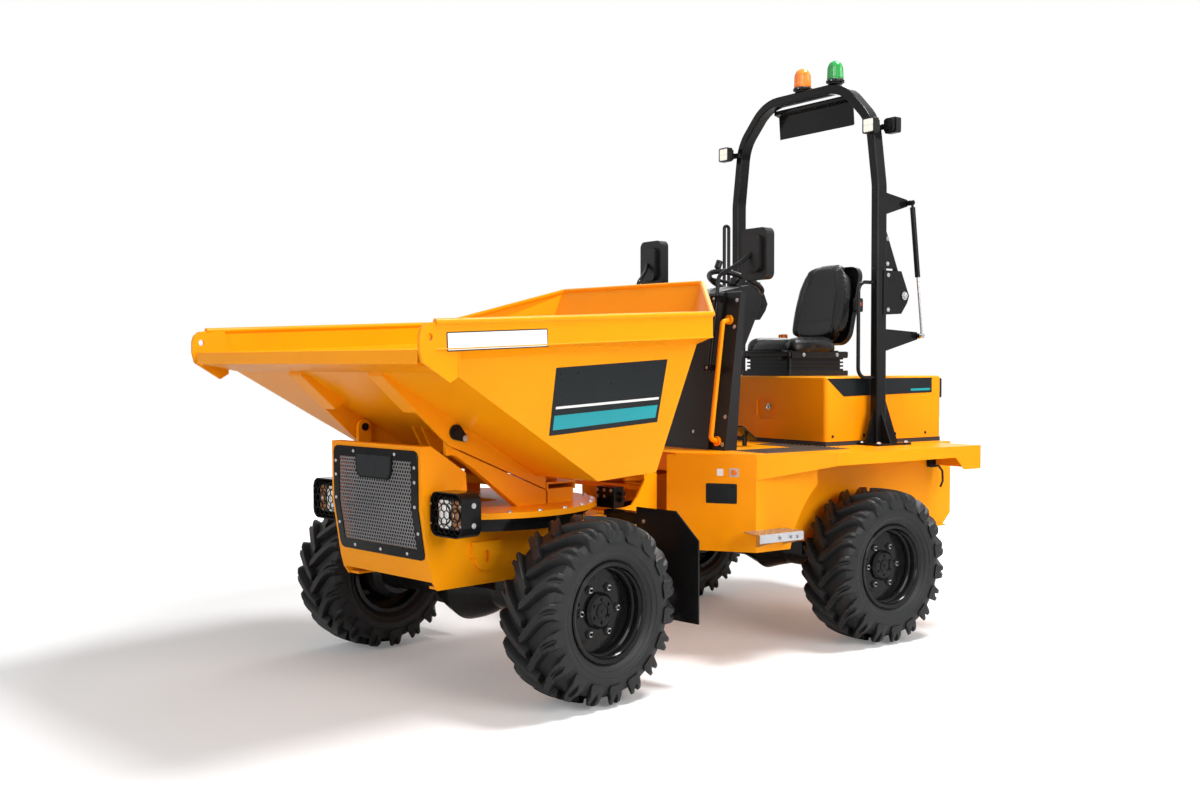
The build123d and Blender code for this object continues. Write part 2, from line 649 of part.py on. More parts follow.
column_plane = Plane(
    origin=(WHEEL_CENTRE[0], 0, WHEEL_CENTRE[1]), x_dir=(0, 1, 0),
    z_dir=(-sin(radians(COLUMN_TILT)), 0, cos(radians(COLUMN_TILT))),
)
with BuildPart() as steering_column:
    with BuildSketch(column_plane.offset(-62)):
        Circle(38)
    with BuildSketch(column_plane.offset(-24)):
        Circle(24)
    loft()
    with BuildSketch(column_plane.offset(-24)):
        Circle(10)
    extrude(amount=38)
    add(dash_console.part, mode=Mode.SUBTRACT)

spokes = []
for turn in (90, 210, 330):
    arm = Vector(cos(radians(turn)), sin(radians(turn)))
    inner = column_plane.from_local_coords(arm * 26)
    outer = column_plane.from_local_coords(arm * (WHEEL_RIM_R - 14))
    spokes.append(rod(tuple(inner), tuple(outer), 9))
knob_at = Vector(0, 14 - WHEEL_RIM_R, 0)
knob = [
    rod(tuple(column_plane.from_local_coords(knob_at + Vector(0, 0, low))),
        tuple(column_plane.from_local_coords(knob_at + Vector(0, 0, high))), radius)
    for low, high, radius in ((14.05, 24, 9), (20, 60, 18))
]

with BuildPart() as steering_wheel:
    with BuildSketch(Plane(origin=column_plane.origin, x_dir=column_plane.x_dir, z_dir=column_plane.y_dir)):
        with Locations((WHEEL_RIM_R - 14, 0)):
            Circle(14)
    revolve(axis=Axis(column_plane.origin, column_plane.z_dir))
    add(spokes)
    add(knob)
    with BuildSketch(column_plane.offset(-16)):
        Circle(34)
    extrude(amount=36)
    with BuildSketch(column_plane.offset(-17)):
        Circle(10 + FIT)
    extrude(amount=31, mode=Mode.SUBTRACT)

# ---- Grab rails, mirror arms and mirrors ----------------------------------------------------------
RAIL_Y = 380.0
RAIL_R = 12.5
rail_tubes = both_sides([
    bent_tube(
        [
            (screen_x(1000, 14), RAIL_Y, 1000), (screen_x(1010, -34), RAIL_Y, 1010),
            (screen_x(1585, -34), RAIL_Y, 1585), (screen_x(1595, 14), RAIL_Y, 1595),
        ],
        20, RAIL_R,
    ),
])
rail_cut = both_sides([slab_xz(post_profile, SCREEN_HALF, POST_PLATE_OUT)])
rail_pads = both_sides([
    rod((screen_x(z, 14 - SEAT), RAIL_Y, z), (screen_x(z, 0), RAIL_Y, z), 24) for z in (1000, 1595)
])

with BuildPart() as grab_rails:
    add(rail_tubes)
    add(rail_pads)
    add(rail_cut, mode=Mode.SUBTRACT)

MIRROR_X = -1462.0
MIRROR_Y = 419.0
MIRROR_Z = 1922.0
mirror_tubes = both_sides([
    bent_tube(
        [
            (screen_x(1330, -47), SCREEN_HALF + 4, 1330), (screen_x(1815, -47), SCREEN_HALF + 4, 1815),
            (MIRROR_X + 70, MIRROR_Y - 30, 1880), (MIRROR_X + 34, MIRROR_Y, MIRROR_Z),
        ],
        (40, 40), 10,
    ),
])
mirror_clamps = both_sides([
    block((screen_x(z), screen_x(z, -58)), (SCREEN_HALF - 26, SCREEN_HALF + 20), (z - 14, z + 14))
    for z in (1360, 1700)
])
mirror_trim = [
    slab_xz(
        [(screen_x(DECK_Z, -SEAT), DECK_Z), (screen_x(1900, -SEAT), 1900), (-1900, 1900), (-1900, DECK_Z)],
        -500, 500,
    ),
]

with BuildPart() as mirror_arms:
    add(mirror_clamps)
    add(mirror_trim, mode=Mode.SUBTRACT)
    add(mirror_tubes)

mirror_heads = []
for side in (1, -1):
    with BuildPart() as head:
        with BuildSketch(Plane.YZ.offset(MIRROR_X - 35)):
            with Locations((side * MIRROR_Y, MIRROR_Z)):
                RectangleRounded(185, 255, 34)
        extrude(amount=48)
        with BuildSketch(Plane.YZ.offset(MIRROR_X + 13)):
            with Locations((side * MIRROR_Y, MIRROR_Z)):
                RectangleRounded(120, 180, 30)
        extrude(amount=22)
    mirror_heads.append(head.part)

with BuildPart() as mirrors:
    add(mirror_heads)
    add(mirror_tubes, mode=Mode.SUBTRACT)

# ---- Roll hoop: fixed lower posts and a folding upper hoop -----------------------------------------
POST_FRONT_X = ROPS_X + POST_DEPTH / 2
POST_REAR_X = ROPS_X - POST_DEPTH / 2
FOLD_R = 35.0
FOLD_PIN_R = 15.0
WEB_HALF = 15.0
FOLD_CHEEK = 10.0
STRUT_Y = 605.0
STRUT_FOOT = (-2474.0, 1526.0)
STRUT_HEAD = (-2392.0, 2223.0)
STRUT_PIN_R = 6.0

cheek_y = ROPS_HALF - WEB_HALF - MOVE - FOLD_CHEEK
fold_cheek_outline = [
    (ROPS_X - 5, 1633), (ROPS_X - 5, ROPS_SPLIT_Z - 8), (FOLD_X + 20, ROPS_SPLIT_Z - 8),
    (FOLD_X - 20, FOLD_Z + 45), (FOLD_X - FOLD_R - 6, FOLD_Z), (FOLD_X - 24, FOLD_Z - 40),
    (FOLD_X + 20, 1640),
]
strut_foot_outline = [
    (ROPS_X - 10, 1440), (ROPS_X - 10, 1560), (STRUT_FOOT[0], STRUT_FOOT[1] + 20),
    (STRUT_FOOT[0] - 20, STRUT_FOOT[1]), (STRUT_FOOT[0], STRUT_FOOT[1] - 20),
]
strut_head_outline = [
    (ROPS_X - 10, 2150), (ROPS_X - 10, 2270), (STRUT_HEAD[0], STRUT_HEAD[1] + 18),
    (STRUT_HEAD[0] - 18, STRUT_HEAD[1]), (STRUT_HEAD[0], STRUT_HEAD[1] - 18),
]
post_feet = both_sides([
    block((ROPS_X - 150, ROPS_X + 100), (COVER_HALF + MOVE, ROPS_HALF + 95), (DECK_Z, DECK_Z + 12)),
    slab_xz([(POST_REAR_X, DECK_Z + 12), (ROPS_X - 145, DECK_Z + 12), (POST_REAR_X, DECK_Z + 270)],
            ROPS_HALF - 5, ROPS_HALF + 5),
    slab_xz([(POST_FRONT_X, DECK_Z + 12), (ROPS_X + 95, DECK_Z + 12), (POST_FRONT_X, DECK_Z + 190)],
            ROPS_HALF - 5, ROPS_HALF + 5),
    slab_yz([(ROPS_HALF + POST_WIDTH / 2, DECK_Z + 12), (ROPS_HALF + 90, DECK_Z + 12),
             (ROPS_HALF + POST_WIDTH / 2, DECK_Z + 170)], ROPS_X - 5, ROPS_X + 5),
])
post_cheeks = both_sides([
    slab_xz(fold_cheek_outline, ROPS_HALF + side * (WEB_HALF + MOVE + FOLD_CHEEK / 2) - FOLD_CHEEK / 2,
            ROPS_HALF + side * (WEB_HALF + MOVE + FOLD_CHEEK / 2) + FOLD_CHEEK / 2)
    for side in (1, -1)
])
fold_pins = both_sides([
    disc_y(FOLD_X, FOLD_Z, cheek_y - 6, ROPS_HALF + WEB_HALF + MOVE + FOLD_CHEEK + 4, FOLD_PIN_R),
])
strut_foot = [
    slab_xz(strut_foot_outline, ROPS_HALF + 13, ROPS_HALF + 25),
    disc_y(*STRUT_FOOT, ROPS_HALF + 20, STRUT_Y - 8 - SIDE, 14),
]

with BuildPart() as rops_lower_posts:
    with BuildSketch(Plane.XY.offset(DECK_Z + 12)):
        with Locations((ROPS_X, ROPS_HALF), (ROPS_X, -ROPS_HALF)):
            RectangleRounded(POST_DEPTH, POST_WIDTH, 8)
            RectangleRounded(POST_DEPTH - 12, POST_WIDTH - 12, 4, mode=Mode.SUBTRACT)
    extrude(amount=ROPS_SPLIT_Z - DECK_Z - 12)
    add(post_feet)
    add(post_cheeks)
    add(fold_pins)
    add(strut_foot)

hoop_path = [
    (ROPS_HALF, ROPS_SPLIT_Z + 1), (ROPS_HALF, 2306), (500, 2650), (300, ROPS_TOP_Z - POST_WIDTH / 2),
]
hoop_section = Plane(origin=(ROPS_X, ROPS_HALF, ROPS_SPLIT_Z + 1), x_dir=(1, 0, 0), z_dir=(0, 0, 1))
hoop_points = [(ROPS_X, y, z) for y, z in hoop_path] + [(ROPS_X, -y, z) for y, z in reversed(hoop_path)]
with BuildPart() as hoop_tube:
    with BuildLine():
        FilletPolyline(*hoop_points, radius=(300, 240, 260, 260, 240, 300))
    with BuildSketch(hoop_section):
        RectangleRounded(POST_DEPTH, POST_WIDTH, 8)
        RectangleRounded(POST_DEPTH - 12, POST_WIDTH - 12, 4, mode=Mode.SUBTRACT)
    sweep()
web_outline = [
    (POST_REAR_X, ROPS_SPLIT_Z + 4), (POST_REAR_X, 2082), (FOLD_X - 14, FOLD_Z + 34),
    (FOLD_X - FOLD_R, FOLD_Z + 8), (FOLD_X - FOLD_R, FOLD_Z), (FOLD_X - 20, FOLD_Z - 29),
    (FOLD_X, FOLD_Z - FOLD_R),
    (FOLD_X + 20, FOLD_Z - 29), (FOLD_X + 34, FOLD_Z), (FOLD_X + 40, ROPS_SPLIT_Z + 4),
]
hoop_webs = both_sides([slab_xz(web_outline, ROPS_HALF - WEB_HALF, ROPS_HALF + WEB_HALF)])
web_bores = both_sides([disc_y(FOLD_X, FOLD_Z, ROPS_HALF - 20, ROPS_HALF + 20, FOLD_PIN_R + FIT)])
strut_head = [
    slab_xz(strut_head_outline, ROPS_HALF + 13, ROPS_HALF + 25),
    disc_y(*STRUT_HEAD, ROPS_HALF + 20, STRUT_Y + 12, STRUT_PIN_R),
    disc_y(*STRUT_HEAD, ROPS_HALF + 20, STRUT_Y - 14, 14),
]

with BuildPart() as rops_hoop:
    add(hoop_tube.part)
    add(hoop_webs)
    add(web_bores, mode=Mode.SUBTRACT)
    add(strut_head)

with BuildPart() as header_panel:
    with BuildSketch(Plane.XZ.offset(-285)):
        Polygon(
            (ROPS_X - 90, 2672), (ROPS_X - 80, 2799), (ROPS_X - 60, 2806), (POST_REAR_X - SEAT, 2822),
            (POST_REAR_X - SEAT, 2800), (ROPS_X - 72, 2790), (ROPS_X - 82, 2665),
        )
    extrude(amount=570)

STRUT_LENGTH = hypot(STRUT_HEAD[0] - STRUT_FOOT[0], STRUT_HEAD[1] - STRUT_FOOT[1])
strut_dir = ((STRUT_FOOT[0] - STRUT_HEAD[0]) / STRUT_LENGTH, (STRUT_FOOT[1] - STRUT_HEAD[1]) / STRUT_LENGTH)


def on_strut(distance):
    """Point on the gas strut's axis, measured down from its head."""
    return (STRUT_HEAD[0] + strut_dir[0] * distance, STRUT_Y, STRUT_HEAD[1] + strut_dir[1] * distance)


with BuildPart() as rops_strut_barrel:
    add([
        disc_y(*STRUT_HEAD, STRUT_Y - 8, STRUT_Y + 8, 13),
        rod(on_strut(8), on_strut(26), 7),
        rod(on_strut(24), on_strut(392), 14),
    ])
    add(disc_y(*STRUT_HEAD, STRUT_Y - 9, STRUT_Y + 9, STRUT_PIN_R + FIT), mode=Mode.SUBTRACT)
    add(rod(on_strut(64), on_strut(393), 7 + FIT), mode=Mode.SUBTRACT)

with BuildPart() as rops_strut_rod:
    add([
        rod(on_strut(352), on_strut(STRUT_LENGTH - 10), 7),
        disc_y(*STRUT_FOOT, STRUT_Y - 8, STRUT_Y + 8, 13),
    ])
    add(disc_y(*STRUT_FOOT, STRUT_Y - 9, STRUT_Y + 9, STRUT_PIN_R + FIT), mode=Mode.SUBTRACT)

# ---- Handles beside the seat, beacons and work lights ------------------------------------------------
HANDLE_R = 10.0
handle_left = bent_tube(
    [
        (ROPS_X, ROPS_HALF, 1307), (POST_FRONT_X + 115, ROPS_HALF, 1307),
        (POST_FRONT_X + 115, ROPS_HALF, 1800),
        (ROPS_X, ROPS_HALF, 1800),
    ],
    50, HANDLE_R,
)
handle_right = bent_tube(
    [
        (ROPS_X, -ROPS_HALF, 1307), (POST_FRONT_X + 80, -ROPS_HALF, 1307),
        (POST_FRONT_X + 80, -ROPS_HALF, 2184), (POST_FRONT_X + 46, -ROPS_HALF, 2184),
        (POST_FRONT_X + 46, -ROPS_HALF, 1800), (ROPS_X, -ROPS_HALF, 1800),
    ],
    16, HANDLE_R,
)
post_envelope = both_sides([
    block((POST_REAR_X, POST_FRONT_X), (ROPS_HALF - POST_WIDTH / 2, ROPS_HALF + POST_WIDTH / 2),
          (DECK_Z, ROPS_SPLIT_Z)),
])
with BuildPart() as entry_handles:
    add([handle_left, handle_right])
    add(post_envelope, mode=Mode.SUBTRACT)


def beacon(y, lens_r, top_z):
    """Beacon lamp: a low foot and a rounded lens on the hoop."""
    with BuildPart() as lamp:
        with BuildSketch(Plane(origin=(ROPS_X, y, 0), x_dir=(1, 0, 0), z_dir=(0, -1, 0))):
            with BuildLine():
                Polyline(
                    (0, ROPS_TOP_Z), (lens_r + 6, ROPS_TOP_Z), (lens_r + 6, ROPS_TOP_Z + 22),
                    (lens_r, ROPS_TOP_Z + 28), (lens_r - 2, top_z - 26),
                )
                ThreePointArc(
                    (lens_r - 2, top_z - 26), (lens_r - 12, top_z - 7), (lens_r - 30, top_z),
                )
                Polyline((lens_r - 30, top_z), (0, top_z), (0, ROPS_TOP_Z))
            make_face()
        revolve(axis=Axis((ROPS_X, y, 0), (0, 0, 1)))
    return lamp


amber_beacon = beacon(-20.0, 47.0, 3011.0)
green_beacon = beacon(229.0, 44.0, 3008.0)

LAMPS = (
    # x of the glass, y, z, facing
    (ROPS_X + 105, 566.0, 2602.0, 1),
    (ROPS_X + 105, -566.0, 2602.0, 1),
    (ROPS_X - 95, 566.0, 2620.0, -1),
)
with BuildPart() as work_lights:
    for x, y, z, facing in LAMPS:
        with BuildSketch(Plane.YZ.offset(x)):
            with Locations((y, z)):
                RectangleRounded(80, 80, 10)
        extrude(amount=-facing * 34)
        with BuildSketch(Plane.YZ.offset(x - facing * 34)):
            with Locations((y, z)):
                RectangleRounded(64, 64, 10)
        extrude(amount=-facing * 16)
        with BuildSketch(Plane.YZ.offset(x - facing * 50)):
            with Locations((y - 30 * (1 if y > 0 else -1), z - 8)):
                Rectangle(90, 26)
        extrude(amount=-facing * (abs(x - ROPS_X) - POST_DEPTH / 2 - 50))
    add(hoop_tube.part, mode=Mode.SUBTRACT)

# ---- Front chassis -------------------------------------------------------------------------------------
TOWER_HALF = 300.0
side_outline = [
    (NOSE_X - 49, NOSE_TOP_Z), (NOSE_X - 6, NOSE_TOP_Z), (NOSE_X - 2, 790), (NOSE_X - 42, 547),
    (NOSE_X - 57, 490), (NOSE_X - 80, FRAME_BOTTOM_Z), (-620, FRAME_BOTTOM_Z), (-620, FRAME_TOP_Z),
    (294, FRAME_TOP_Z), (294, 860), (301, 931),
]
nose_outline = [
    (NOSE_X - 49, NOSE_TOP_Z), (NOSE_X, NOSE_TOP_Z), (NOSE_X - 2, 790), (NOSE_X - 42, 547),
    (NOSE_X - 57, 490), (NOSE_X - 67, 490), (NOSE_X - 52, 549), (NOSE_X - 12, 791),
    (NOSE_X - 10, NOSE_TOP_Z - 10),
    (NOSE_X - 49, NOSE_TOP_Z - 10),
]
tower_plate = [
    (-600, FRAME_BOTTOM_Z - 15), (-888, FRAME_BOTTOM_Z - 15), (-888, 855), (-819, 855), (-790, 800),
    (-752, 745), (-718, 712), (-600, FRAME_TOP_Z),
]
ear_plates = []
for rear_z, lower_z, upper_z in YOKES:
    ear_root_x = -700 if upper_z < FRAME_TOP_Z else -800
    ear_plates += [
        slab_xy([(ear_root_x, -TOWER_HALF), (ear_root_x, TOWER_HALF), (-875, TOWER_HALF), (PIVOT_X, YOKE_R),
                 (PIVOT_X, -YOKE_R), (-875, -TOWER_HALF)], z_low, z_low + EAR_SHEET)
        for z_low in (lower_z, upper_z)
    ]
    ear_plates += [
        rod((PIVOT_X, 0, z_low), (PIVOT_X, 0, z_low + EAR_SHEET), YOKE_R) for z_low in (lower_z, upper_z)
    ]
tower_parts = both_sides([slab_xz(tower_plate, TOWER_HALF - 12, TOWER_HALF)]) + ear_plates + [
    block((-700, -690), (-TOWER_HALF, TOWER_HALF), (FRAME_BOTTOM_Z - 15, FRAME_TOP_Z)),
    block((-700, -620), (-FRAME_HALF, FRAME_HALF), (FRAME_BOTTOM_Z - 15, FRAME_BOTTOM_Z - 3)),
    block((-700, -600), (-FRAME_HALF, FRAME_HALF), (FRAME_TOP_Z, FRAME_TOP_Z + 12)),
]
STEER_HEAD = (PIVOT_X + 145.0, -180.0)
steer_head_lugs = [
    slab_xy(
        [
            (-700, STEER_HEAD[1] - 45), (-700, STEER_HEAD[1] + 45), (STEER_HEAD[0], STEER_HEAD[1] + 26),
            (STEER_HEAD[0] - 18, STEER_HEAD[1] + 18), (STEER_HEAD[0] - 26, STEER_HEAD[1]),
            (STEER_HEAD[0] - 18, STEER_HEAD[1] - 18), (STEER_HEAD[0], STEER_HEAD[1] - 26),
        ],
        z_low, z_low + 12,
    )
    for z_low in (STEER_RAM_Z - STEER_ROD_R - SIDE - 12, STEER_RAM_Z + STEER_ROD_R + SIDE)
]
TIP_FOOT = (-50.0, 600.0)
TIP_HEAD = (200.0, 975.0)
TIP_FOOT_PIN_R = 20.0
TIP_BARREL_R = 38.0
TIP_ROD_R = 22.0
tip_foot_lugs = both_sides([
    slab_xz(
        [(-118, 540), (-118, 668), (TIP_FOOT[0], TIP_FOOT[1] + 34), (TIP_FOOT[0] + 24, TIP_FOOT[1] + 24),
         (TIP_FOOT[0] + 34, TIP_FOOT[1]), (TIP_FOOT[0] + 24, TIP_FOOT[1] - 24),
         (TIP_FOOT[0], TIP_FOOT[1] - 34)],
        TIP_BARREL_R + SIDE, TIP_BARREL_R + SIDE + 14,
    ),
])
frame_side = both_sides([slab_xz(side_outline, FRAME_HALF - FRAME_PLATE, FRAME_HALF)])
frame_flanges = both_sides([
    block((-620, NOSE_X - 90), (FRAME_HALF - 70, FRAME_HALF - FRAME_PLATE),
          (FRAME_BOTTOM_Z, FRAME_BOTTOM_Z + 10)),
])
nose_face = [
    slab_xz(nose_outline, -FRAME_HALF, FRAME_HALF),
    block((NOSE_X - 72, NOSE_X - 57), (-300, 300), (492, 548)),
]
GRILLE_HALF = 262.0         # opening in the nose
GRILLE_Z = (622.0, 984.0)
GRILLE_BORDER = 44.0
GRILLE_BAR = 7.0
grille_cut = [block((NOSE_X - 60, NOSE_X + 5), (-GRILLE_HALF, GRILLE_HALF), GRILLE_Z)]


def nose_x(height):
    """X on the outside of the nose panel, which is folded back below its bend."""
    if height > 790:
        return NOSE_X - 2 * (NOSE_TOP_Z - height) / (NOSE_TOP_Z - 790)
    return NOSE_X - 2 - 40 * (790 - height) / (790 - 547)


def nose_band(z_low, z_high, sheet_thickness):
    """Outline of a sheet that lies on the nose panel and follows its bend."""
    heights = (z_high, 790, z_low)
    inner = [(nose_x(height), height) for height in heights]
    return inner + [(x + sheet_thickness, height) for x, height in reversed(inner)]


top_plate = [
    block((-620, 294), (FRAME_PLATE - FRAME_HALF, FRAME_HALF - FRAME_PLATE), (FRAME_TOP_Z - 10, FRAME_TOP_Z)),
]
ram_hole = [block((-75, 75), (-85, 85), (FRAME_TOP_Z - 15, FRAME_TOP_Z + 5))]
belly = [
    block((-130, -118), (FRAME_PLATE - FRAME_HALF, FRAME_HALF - FRAME_PLATE), (540, FRAME_TOP_Z - 10)),
    block((300, 312), (FRAME_PLATE - FRAME_HALF, FRAME_HALF - FRAME_PLATE), (540, FRAME_TOP_Z - 10)),
]
lug_plates = []
for side in (1, -1):
    with BuildPart() as lug:
        with BuildSketch(Plane.XZ.offset(-(side * (FRAME_HALF + 8.5) + 8.5))):
            with Locations((201, 573)):
                Circle(60)
                SlotOverall(50, 26, rotation=90, mode=Mode.SUBTRACT)
            with Locations((201, 605)):
                Rectangle(160, 64)
            with Locations((201, 573)):
                SlotOverall(50, 26, rotation=90, mode=Mode.SUBTRACT)
        extrude(amount=17)
    lug_plates.append(lug.part)

with BuildPart() as front_chassis:
    add(frame_side)
    add(nose_face)
    add(frame_flanges)
    add(top_plate)
    add(belly)
    add(tower_parts)
    add(steer_head_lugs)
    add(tip_foot_lugs)
    add(lug_plates)
    add(ram_hole, mode=Mode.SUBTRACT)
    add(grille_cut, mode=Mode.SUBTRACT)
    add(pin_bores, mode=Mode.SUBTRACT)
    add(disc_y(*TIP_FOOT, -TIP_BARREL_R - 20, TIP_BARREL_R + 20, TIP_FOOT_PIN_R))

grille_frame = [
    slab_xz(nose_band(GRILLE_Z[0] - GRILLE_BORDER, GRILLE_Z[1] + GRILLE_BORDER, 6),
            -GRILLE_HALF - GRILLE_BORDER, GRILLE_HALF + GRILLE_BORDER),
]
grille_lattice = [slab_xz(nose_band(GRILLE_Z[0] + 1, GRILLE_Z[1] - 1, 3), 1 - GRILLE_HALF, GRILLE_HALF - 1)]
grille_window = [
    block((NOSE_X - 60, NOSE_X + 20), (1 - GRILLE_HALF, GRILLE_HALF - 1),
          (GRILLE_Z[0] + 1, GRILLE_Z[1] - 1)),
]
cell_width = (2 * GRILLE_HALF - GRILLE_BAR) / 8
cell_height = (GRILLE_Z[1] - GRILLE_Z[0] - GRILLE_BAR) / 6
grille_cells = [
    block((NOSE_X - 60, NOSE_X + 20),
          (cell_width * column - GRILLE_HALF + GRILLE_BAR, cell_width * (column + 1) - GRILLE_HALF),
          (cell_height * row + GRILLE_Z[0] + GRILLE_BAR, cell_height * (row + 1) + GRILLE_Z[0]))
    for column in range(8) for row in range(6)
]

with BuildPart() as front_grille:
    add(grille_frame)
    add(grille_window, mode=Mode.SUBTRACT)
    add(grille_lattice)
    add(grille_cells, mode=Mode.SUBTRACT)

GUARD_X = (392.0, 490.0)
GUARD_Y = (335.0, 540.0)
GUARD_Z = (688.0, 868.0)
guard_shells = []
lamp_bodies = []
for side in (1, -1):
    with BuildPart() as guard:
        middle = (side * sum(GUARD_Y) / 2, sum(GUARD_Z) / 2)
        with BuildSketch(Plane.YZ.offset(GUARD_X[0])):
            with Locations(middle):
                RectangleRounded(GUARD_Y[1] - GUARD_Y[0], GUARD_Z[1] - GUARD_Z[0], 42)
                RectangleRounded(
                    GUARD_Y[1] - GUARD_Y[0] - 12, GUARD_Z[1] - GUARD_Z[0] - 12, 36, mode=Mode.SUBTRACT
                )
        extrude(amount=GUARD_X[1] - GUARD_X[0])
        with BuildSketch(Plane.YZ.offset(GUARD_X[0])):
            with Locations(middle):
                RectangleRounded(GUARD_Y[1] - GUARD_Y[0], GUARD_Z[1] - GUARD_Z[0], 42)
        extrude(amount=6)
        with BuildSketch(Plane.XY.offset(GUARD_Z[0] + 20)):
            with Locations((GUARD_X[0] + 60, side * (FRAME_HALF + GUARD_Y[0]) / 2)):
                Rectangle(60, GUARD_Y[0] - FRAME_HALF + 2)
        extrude(amount=90)
    guard_shells.append(guard.part)
    with BuildPart() as lamp_body:
        with BuildSketch(Plane.YZ.offset(GUARD_X[0] + 6)):
            with Locations(middle):
                RectangleRounded(90, 70, 14)
        extrude(amount=24)
        with BuildSketch(Plane.YZ.offset(GUARD_X[0] + 30)):
            with Locations(middle):
                RectangleRounded(150, 124, 24)
        extrude(amount=48)
    lamp_bodies.append(lamp_body.part)
guard_trim = [slab_xz(side_outline, -FRAME_HALF, FRAME_HALF)]
nose_room = both_sides([
    block((294 - MOVE, NOSE_X + 60), (-FRAME_HALF - 1, FRAME_HALF + 1), (FRAME_TOP_Z - 5, 940)),
    block((GUARD_X[0] - MOVE, GUARD_X[1] + 100), (FRAME_HALF, GUARD_Y[1] + MOVE),
          (FRAME_TOP_Z - 5, GUARD_Z[1] + 5)),
])

with BuildPart() as headlight_guards:
    add(guard_shells)
    add(guard_trim, mode=Mode.SUBTRACT)

with BuildPart() as headlights:
    add(lamp_bodies)

flap_parts = both_sides([
    slab_yz([(540, 265), (907, 265), (907, 623), (775, 741), (540, 741)], -504, -496),
    block((-560, -504), (FRAME_HALF, 590), (700, 712)),
    block((-560, -552), (FRAME_HALF, 590), (660, 712)),
    block((-520, -504), (FRAME_HALF, 590), (660, 700)),
])
with BuildPart() as front_mudguards:
    add(flap_parts)

RING_BOTTOM_Z = FRAME_TOP_Z
with BuildPart() as mounting_ring:
    with BuildSketch(Plane.XY.offset(RING_BOTTOM_Z)):
        Circle(TURNTABLE_R - 15)
        Circle(TURNTABLE_R - 70, mode=Mode.SUBTRACT)
    extrude(amount=TURNTABLE_Z - RING_BOTTOM_Z)
    with BuildSketch(Plane.XY.offset(TURNTABLE_Z - 18)):
        Circle(TURNTABLE_R)
        Circle(TURNTABLE_R - 30, mode=Mode.SUBTRACT)
    extrude(amount=18)
    add(nose_room, mode=Mode.SUBTRACT)

with BuildPart() as valve_block:
    with BuildSketch(Plane.XY.offset(FRAME_TOP_Z + 12)):
        with Locations((-655, 215)):
            RectangleRounded(70, 120, 8)
    extrude(amount=98)
    with BuildSketch(Plane.XZ.offset(-275)):
        with Locations((-655, 770), (-655, 740)):
            Circle(12)
    extrude(amount=-30)

# ---- Skip frame: base plate, side boxes and ears of the skip hinge --------------------------------------
BASE_R = 550.0
BASE_TOP_Z = 770.0
EAR_Y = (306.0, 326.0)
BOX_Y = (306.0, 346.0)
EAR_R = 33.0
box_outline = [(371, 1029), (371, 1005), (280, 950), (36, BASE_TOP_Z), (-129, BASE_TOP_Z), (-129, 826)]
frame_boxes = both_sides([
    slab_xz(box_outline, *BOX_Y),
    slab_xz([(335, 1005), (335, TIP_Z), (401, TIP_Z), (401, 1005)], *EAR_Y),
    disc_y(TIP_X, TIP_Z, *EAR_Y, EAR_R),
])
ear_bores = both_sides([disc_y(TIP_X, TIP_Z, EAR_Y[0] - 1, EAR_Y[1] + 1, TIP_PIN_R + FIT)])
REST_Z = SKIP_FLOOR_Z - MOVE

with BuildPart() as skip_frame:
    with BuildSketch(Plane.XY.offset(TURNTABLE_Z + SEAT)):
        Circle(BASE_R)
        with Locations((38, 0)):
            RectangleRounded(230, 200, 40, mode=Mode.SUBTRACT)
    extrude(amount=BASE_TOP_Z - TURNTABLE_Z - SEAT)
    add(nose_room, mode=Mode.SUBTRACT)
    add(frame_boxes)
    with BuildSketch(Plane.XZ.offset(-BOX_Y[1])):
        with Locations((-219, 842)):
            Rectangle(172, 36)
            Rectangle(152, 20, mode=Mode.SUBTRACT)
    extrude(amount=2 * BOX_Y[1])
    for y in (-BOX_Y[1], BOX_Y[0]):
        with BuildSketch(Plane.XY.offset(BASE_TOP_Z)):
            with Locations((-215, y + (BOX_Y[1] - BOX_Y[0]) / 2)):
                Rectangle(150, BOX_Y[1] - BOX_Y[0])
        extrude(amount=56)
    for y in (-220, 220):
        with BuildSketch(Plane.XY.offset(860)):
            with Locations((-215, y)):
                RectangleRounded(120, 90, 10)
        extrude(amount=REST_Z - 860)
    add(ear_bores, mode=Mode.SUBTRACT)

# ---- Skip: a tub of flat sheets with a flared band ------------------------------------------------------
FLOOR_BACK = (-620.0, 924.0)
FLOOR_KINK = (-417.0, 913.0)
FLOOR_FLAT = (-68.0, SKIP_FLOOR_Z)
FLOOR_BEND = (725.0, 1347.0)
FLOOR_LIP = (SKIP_FRONT_X, 1380.0)
FOLD_FRONT = (SKIP_FRONT_X, 1387.0)
FOLD_REAR = (-599.0, 1465.0)
REAR_TOP = (SKIP_REAR_X, SKIP_REAR_Z)
REAR_TOP_HALF = 485.0
BAND_FRONT_X = 847.0
BAND_FRONT_Z = (1431.0, 1528.0)
BAND_REAR = (-547.0, 943.0)
BAND_REAR_Z = (1492.0, 1590.0)
BAND_SHEET = 10.0
RIM_R = 13.0


def side_y(height):
    """Outside of the skip's side wall at a height."""
    return SKIP_SIDE_Y + SKIP_SIDE_SLOPE * (height - SKIP_FLOOR_Z)


